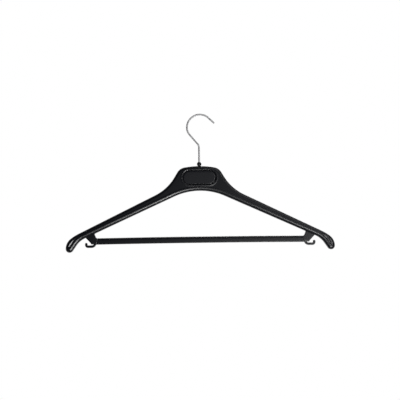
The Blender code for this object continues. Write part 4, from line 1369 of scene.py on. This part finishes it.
def make_steel(finish):
    """Bright plated wire with faint drawing marks, which are duller and rougher."""
    material, tree, shader = new_material("plated steel", finish.steel_rough, 1.0)
    mask = shared_effect(tree, "drawn wire", build_drawn_group)["Mask"]
    tint = blend(tree, mask, finish.steel_dull, finish.steel)
    rough = spread(tree, mask, finish.steel_rough, -finish.steel_spread)
    join_finish(tree, shader, tint, rough, mask, finish.mark_depth)
    return material


def background_rays(tree, way, first, last):
    """1 for rays that show the white background: the camera's, and gloss that goes far behind.

    How far behind is read from the Y of way, which counts from first, and in full from last.
    """
    y = add_node(tree, "ShaderNodeSeparateXYZ", [("Vector", way)]).outputs["Y"]
    behind = from_zero_to_one(tree, y, first, last)
    path = add_node(tree, "ShaderNodeLightPath").outputs
    gloss = calculate(tree, "MAXIMUM", path["Is Glossy Ray"], path["Is Transmission Ray"])
    gloss = calculate(tree, "MULTIPLY", gloss, behind)
    return calculate(tree, "MAXIMUM", path["Is Camera Ray"], gloss)


def from_zero_to_one(tree, value, first, last):
    """A smooth step from 0 where value is first to 1 where it is last."""
    inputs = [("Value", value), ("From Min", first), ("From Max", last)]
    node = add_node(tree, "ShaderNodeMapRange", inputs, interpolation_type="SMOOTHSTEP")
    return node.outputs["Result"]


def show_white(tree, usual, kind, seen, output):
    """Shows plain white, from a shader of that kind, in place of the usual one where seen is 1."""
    white = add_node(tree, kind, [("Color", WHITE), ("Strength", 1)])
    inputs = [(0, seen), (1, usual.outputs[0]), (2, white.outputs[0])]
    mixed = add_node(tree, "ShaderNodeMixShader", inputs)
    tree.links.new(mixed.outputs[0], tree.nodes[output].inputs["Surface"])


def make_floor(studio):
    """A pale round floor that keeps the hanger's shadow and turns plain white further out."""
    outline = circle(studio.floor_radius, FLOOR_SIDES)
    points = [(x, y, -studio.floor_drop) for x, y in outline]
    floor = mesh_object("floor", points, [], [list(range(FLOOR_SIDES))])
    material, tree, shader = new_material("pale floor", studio.floor_rough)
    shader.inputs["Specular IOR Level"].default_value = 0
    camera_sees = add_node(tree, "ShaderNodeLightPath").outputs["Is Camera Ray"]
    pale = blend(tree, camera_sees, studio.floor_bounce, studio.floor_colour)
    tree.links.new(pale, shader.inputs["Base Color"])
    place = add_node(tree, "ShaderNodeTexCoord").outputs["Object"]
    far = add_node(tree, "ShaderNodeVectorMath", [(0, place)], operation="LENGTH").outputs["Value"]
    fade = from_zero_to_one(tree, far, studio.fade_start, studio.fade_end)
    seen = calculate(tree, "MULTIPLY", fade, background_rays(tree, place, 0, studio.white_depth))
    show_white(tree, shader, "ShaderNodeEmission", seen, "Material Output")
    floor.data.materials.append(material)


def make_world(studio):
    """White where the background shows, and a dim even studio for the light on the hanger."""
    world = bpy.data.worlds.new("studio")
    bpy.context.scene.world = world
    world.use_nodes = True
    tree = world.node_tree
    dim = tree.nodes["Background"]
    dim.inputs["Color"].default_value = WHITE
    dim.inputs["Strength"].default_value = studio.ambient
    way = add_node(tree, "ShaderNodeTexCoord").outputs["Generated"]
    seen = background_rays(tree, way, studio.white_start, studio.white_full)
    show_white(tree, dim, "ShaderNodeBackground", seen, "World Output")


def aim(place, target):
    """A matrix at place whose -Z looks at target."""
    way = Vector(target) - Vector(place)
    return Matrix.Translation(place) @ way.to_track_quat("-Z", "Y").to_matrix().to_4x4()


class Lamp(NamedTuple):
    """A soft square lamp. Off axis and around say where it stands, seen from the camera's side."""

    name: str
    off_axis: float
    around: float
    distance: float
    size: float
    power: float


LAMPS = (
    Lamp("key", 30, 300, 1.05, 0.3, 7.5),
    Lamp("fill", 33, 12, 1.5, 0.3, 2.6),
    Lamp("high", 55, 60, 1.15, 0.8, 2.0),
    Lamp("behind", 150, 60, 1.4, 0.8, 6.0),
)


def make_lamps(studio):
    """The lamps, each aimed at the middle of the hanger."""
    target = Vector((0, 0, TOP_Z - studio.aim_drop))
    for lamp in LAMPS:
        data = bpy.data.lights.new(lamp.name, "AREA")
        data.size = lamp.size
        data.energy = lamp.power
        off, around = math.radians(lamp.off_axis), math.radians(lamp.around)
        way = (math.sin(off) * math.cos(around), -math.cos(off), math.sin(off) * math.sin(around))
        light = add_object(lamp.name, data)
        light.visible_camera = False
        light.matrix_world = aim(target + lamp.distance * Vector(way), target)


def make_camera(studio):
    data = bpy.data.cameras.new("camera")
    data.lens = data.sensor_width * studio.distance / studio.frame_width
    camera = add_object("camera", data)
    place = Matrix.Translation((studio.aim_x, -studio.distance, TOP_Z - studio.aim_drop))
    upright = Matrix.Rotation(math.pi / 2, 4, "X")
    camera.matrix_world = place @ upright @ Matrix.Rotation(-studio.roll, 4, "Z")
    bpy.context.scene.camera = camera


class HANGER_OT_moulding(bpy.types.Operator):
    """Builds the moulding: arms, neck, trouser bar, links and skirt hooks"""

    bl_idname = "hanger.moulding"
    bl_label = "Moulding"

    def execute(self, context):
        moulding = make_moulding(settings())
        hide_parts("hanger_body")
        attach(moulding, "hanger")
        return {"FINISHED"}


class HANGER_OT_label_plate(bpy.types.Operator):
    """Builds the blank label plate with its pegs"""

    bl_idname = "hanger.label_plate"
    bl_label = "Label plate"

    def execute(self, context):
        plate = make_label_plate(settings())
        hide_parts("label_plate")
        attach(plate, "hanger")
        return {"FINISHED"}


class HANGER_OT_hook_bush(bpy.types.Operator):
    """Builds the bush: a ball, a sleeve with its tongue, and a flange"""

    bl_idname = "hanger.hook_bush"
    bl_label = "Hook bush"

    def execute(self, context):
        bush = make_bush(settings())
        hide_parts("hook_bush")
        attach(bush, "hanger")
        return {"FINISHED"}


class HANGER_OT_hook_wire(bpy.types.Operator):
    """Sweeps the plated wire along its bends"""

    bl_idname = "hanger.hook_wire"
    bl_label = "Hook wire"

    def execute(self, context):
        wire = make_wire(settings())
        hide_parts("hook_wire")
        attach(wire, "hook")
        return {"FINISHED"}


class HANGER_OT_stage(bpy.types.Operator):
    """Sets the floor, the lamps, the white surroundings and the camera"""

    bl_idname = "hanger.stage"
    bl_label = "Stage"

    def execute(self, context):
        studio = settings().studio
        make_floor(studio)
        make_world(studio)
        make_lamps(studio)
        make_camera(studio)
        context.scene.view_settings.view_transform = "Standard"
        return {"FINISHED"}


OPERATORS = (
    HANGER_OT_moulding,
    HANGER_OT_label_plate,
    HANGER_OT_hook_bush,
    HANGER_OT_hook_wire,
    HANGER_OT_stage,
)


class HANGER_PT_panel(bpy.types.Panel):
    """Lists the sizes and the steps that build the hanger"""

    bl_idname = "HANGER_PT_panel"
    bl_label = "Clothes hanger"
    bl_space_type = "VIEW_3D"
    bl_region_type = "UI"
    bl_category = "Hanger"

    def draw(self, context):
        for name, values in vars(settings()).items():
            box = self.layout.box()
            for key in GROUPS[name].__annotations__:
                box.prop(values, key)
        for operator in OPERATORS:
            self.layout.operator(operator.bl_idname)


def register():
    for name, group in GROUPS.items():
        bpy.utils.register_class(group)
        setattr(bpy.types.Scene, PREFIX + name, bpy.props.PointerProperty(type=group))
    for item in (*OPERATORS, HANGER_PT_panel):
        bpy.utils.register_class(item)


def unregister():
    for item in (HANGER_PT_panel, *OPERATORS[::-1]):
        bpy.utils.unregister_class(item)
    for name, group in GROUPS.items():
        delattr(bpy.types.Scene, PREFIX + name)
        bpy.utils.unregister_class(group)


def main():
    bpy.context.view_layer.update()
    register()
    bpy.ops.hanger.moulding()
    bpy.ops.hanger.label_plate()
    bpy.ops.hanger.hook_bush()
    bpy.ops.hanger.hook_wire()
    bpy.ops.hanger.stage()
    bpy.context.view_layer.update()


if __name__ == "__main__":
    main()
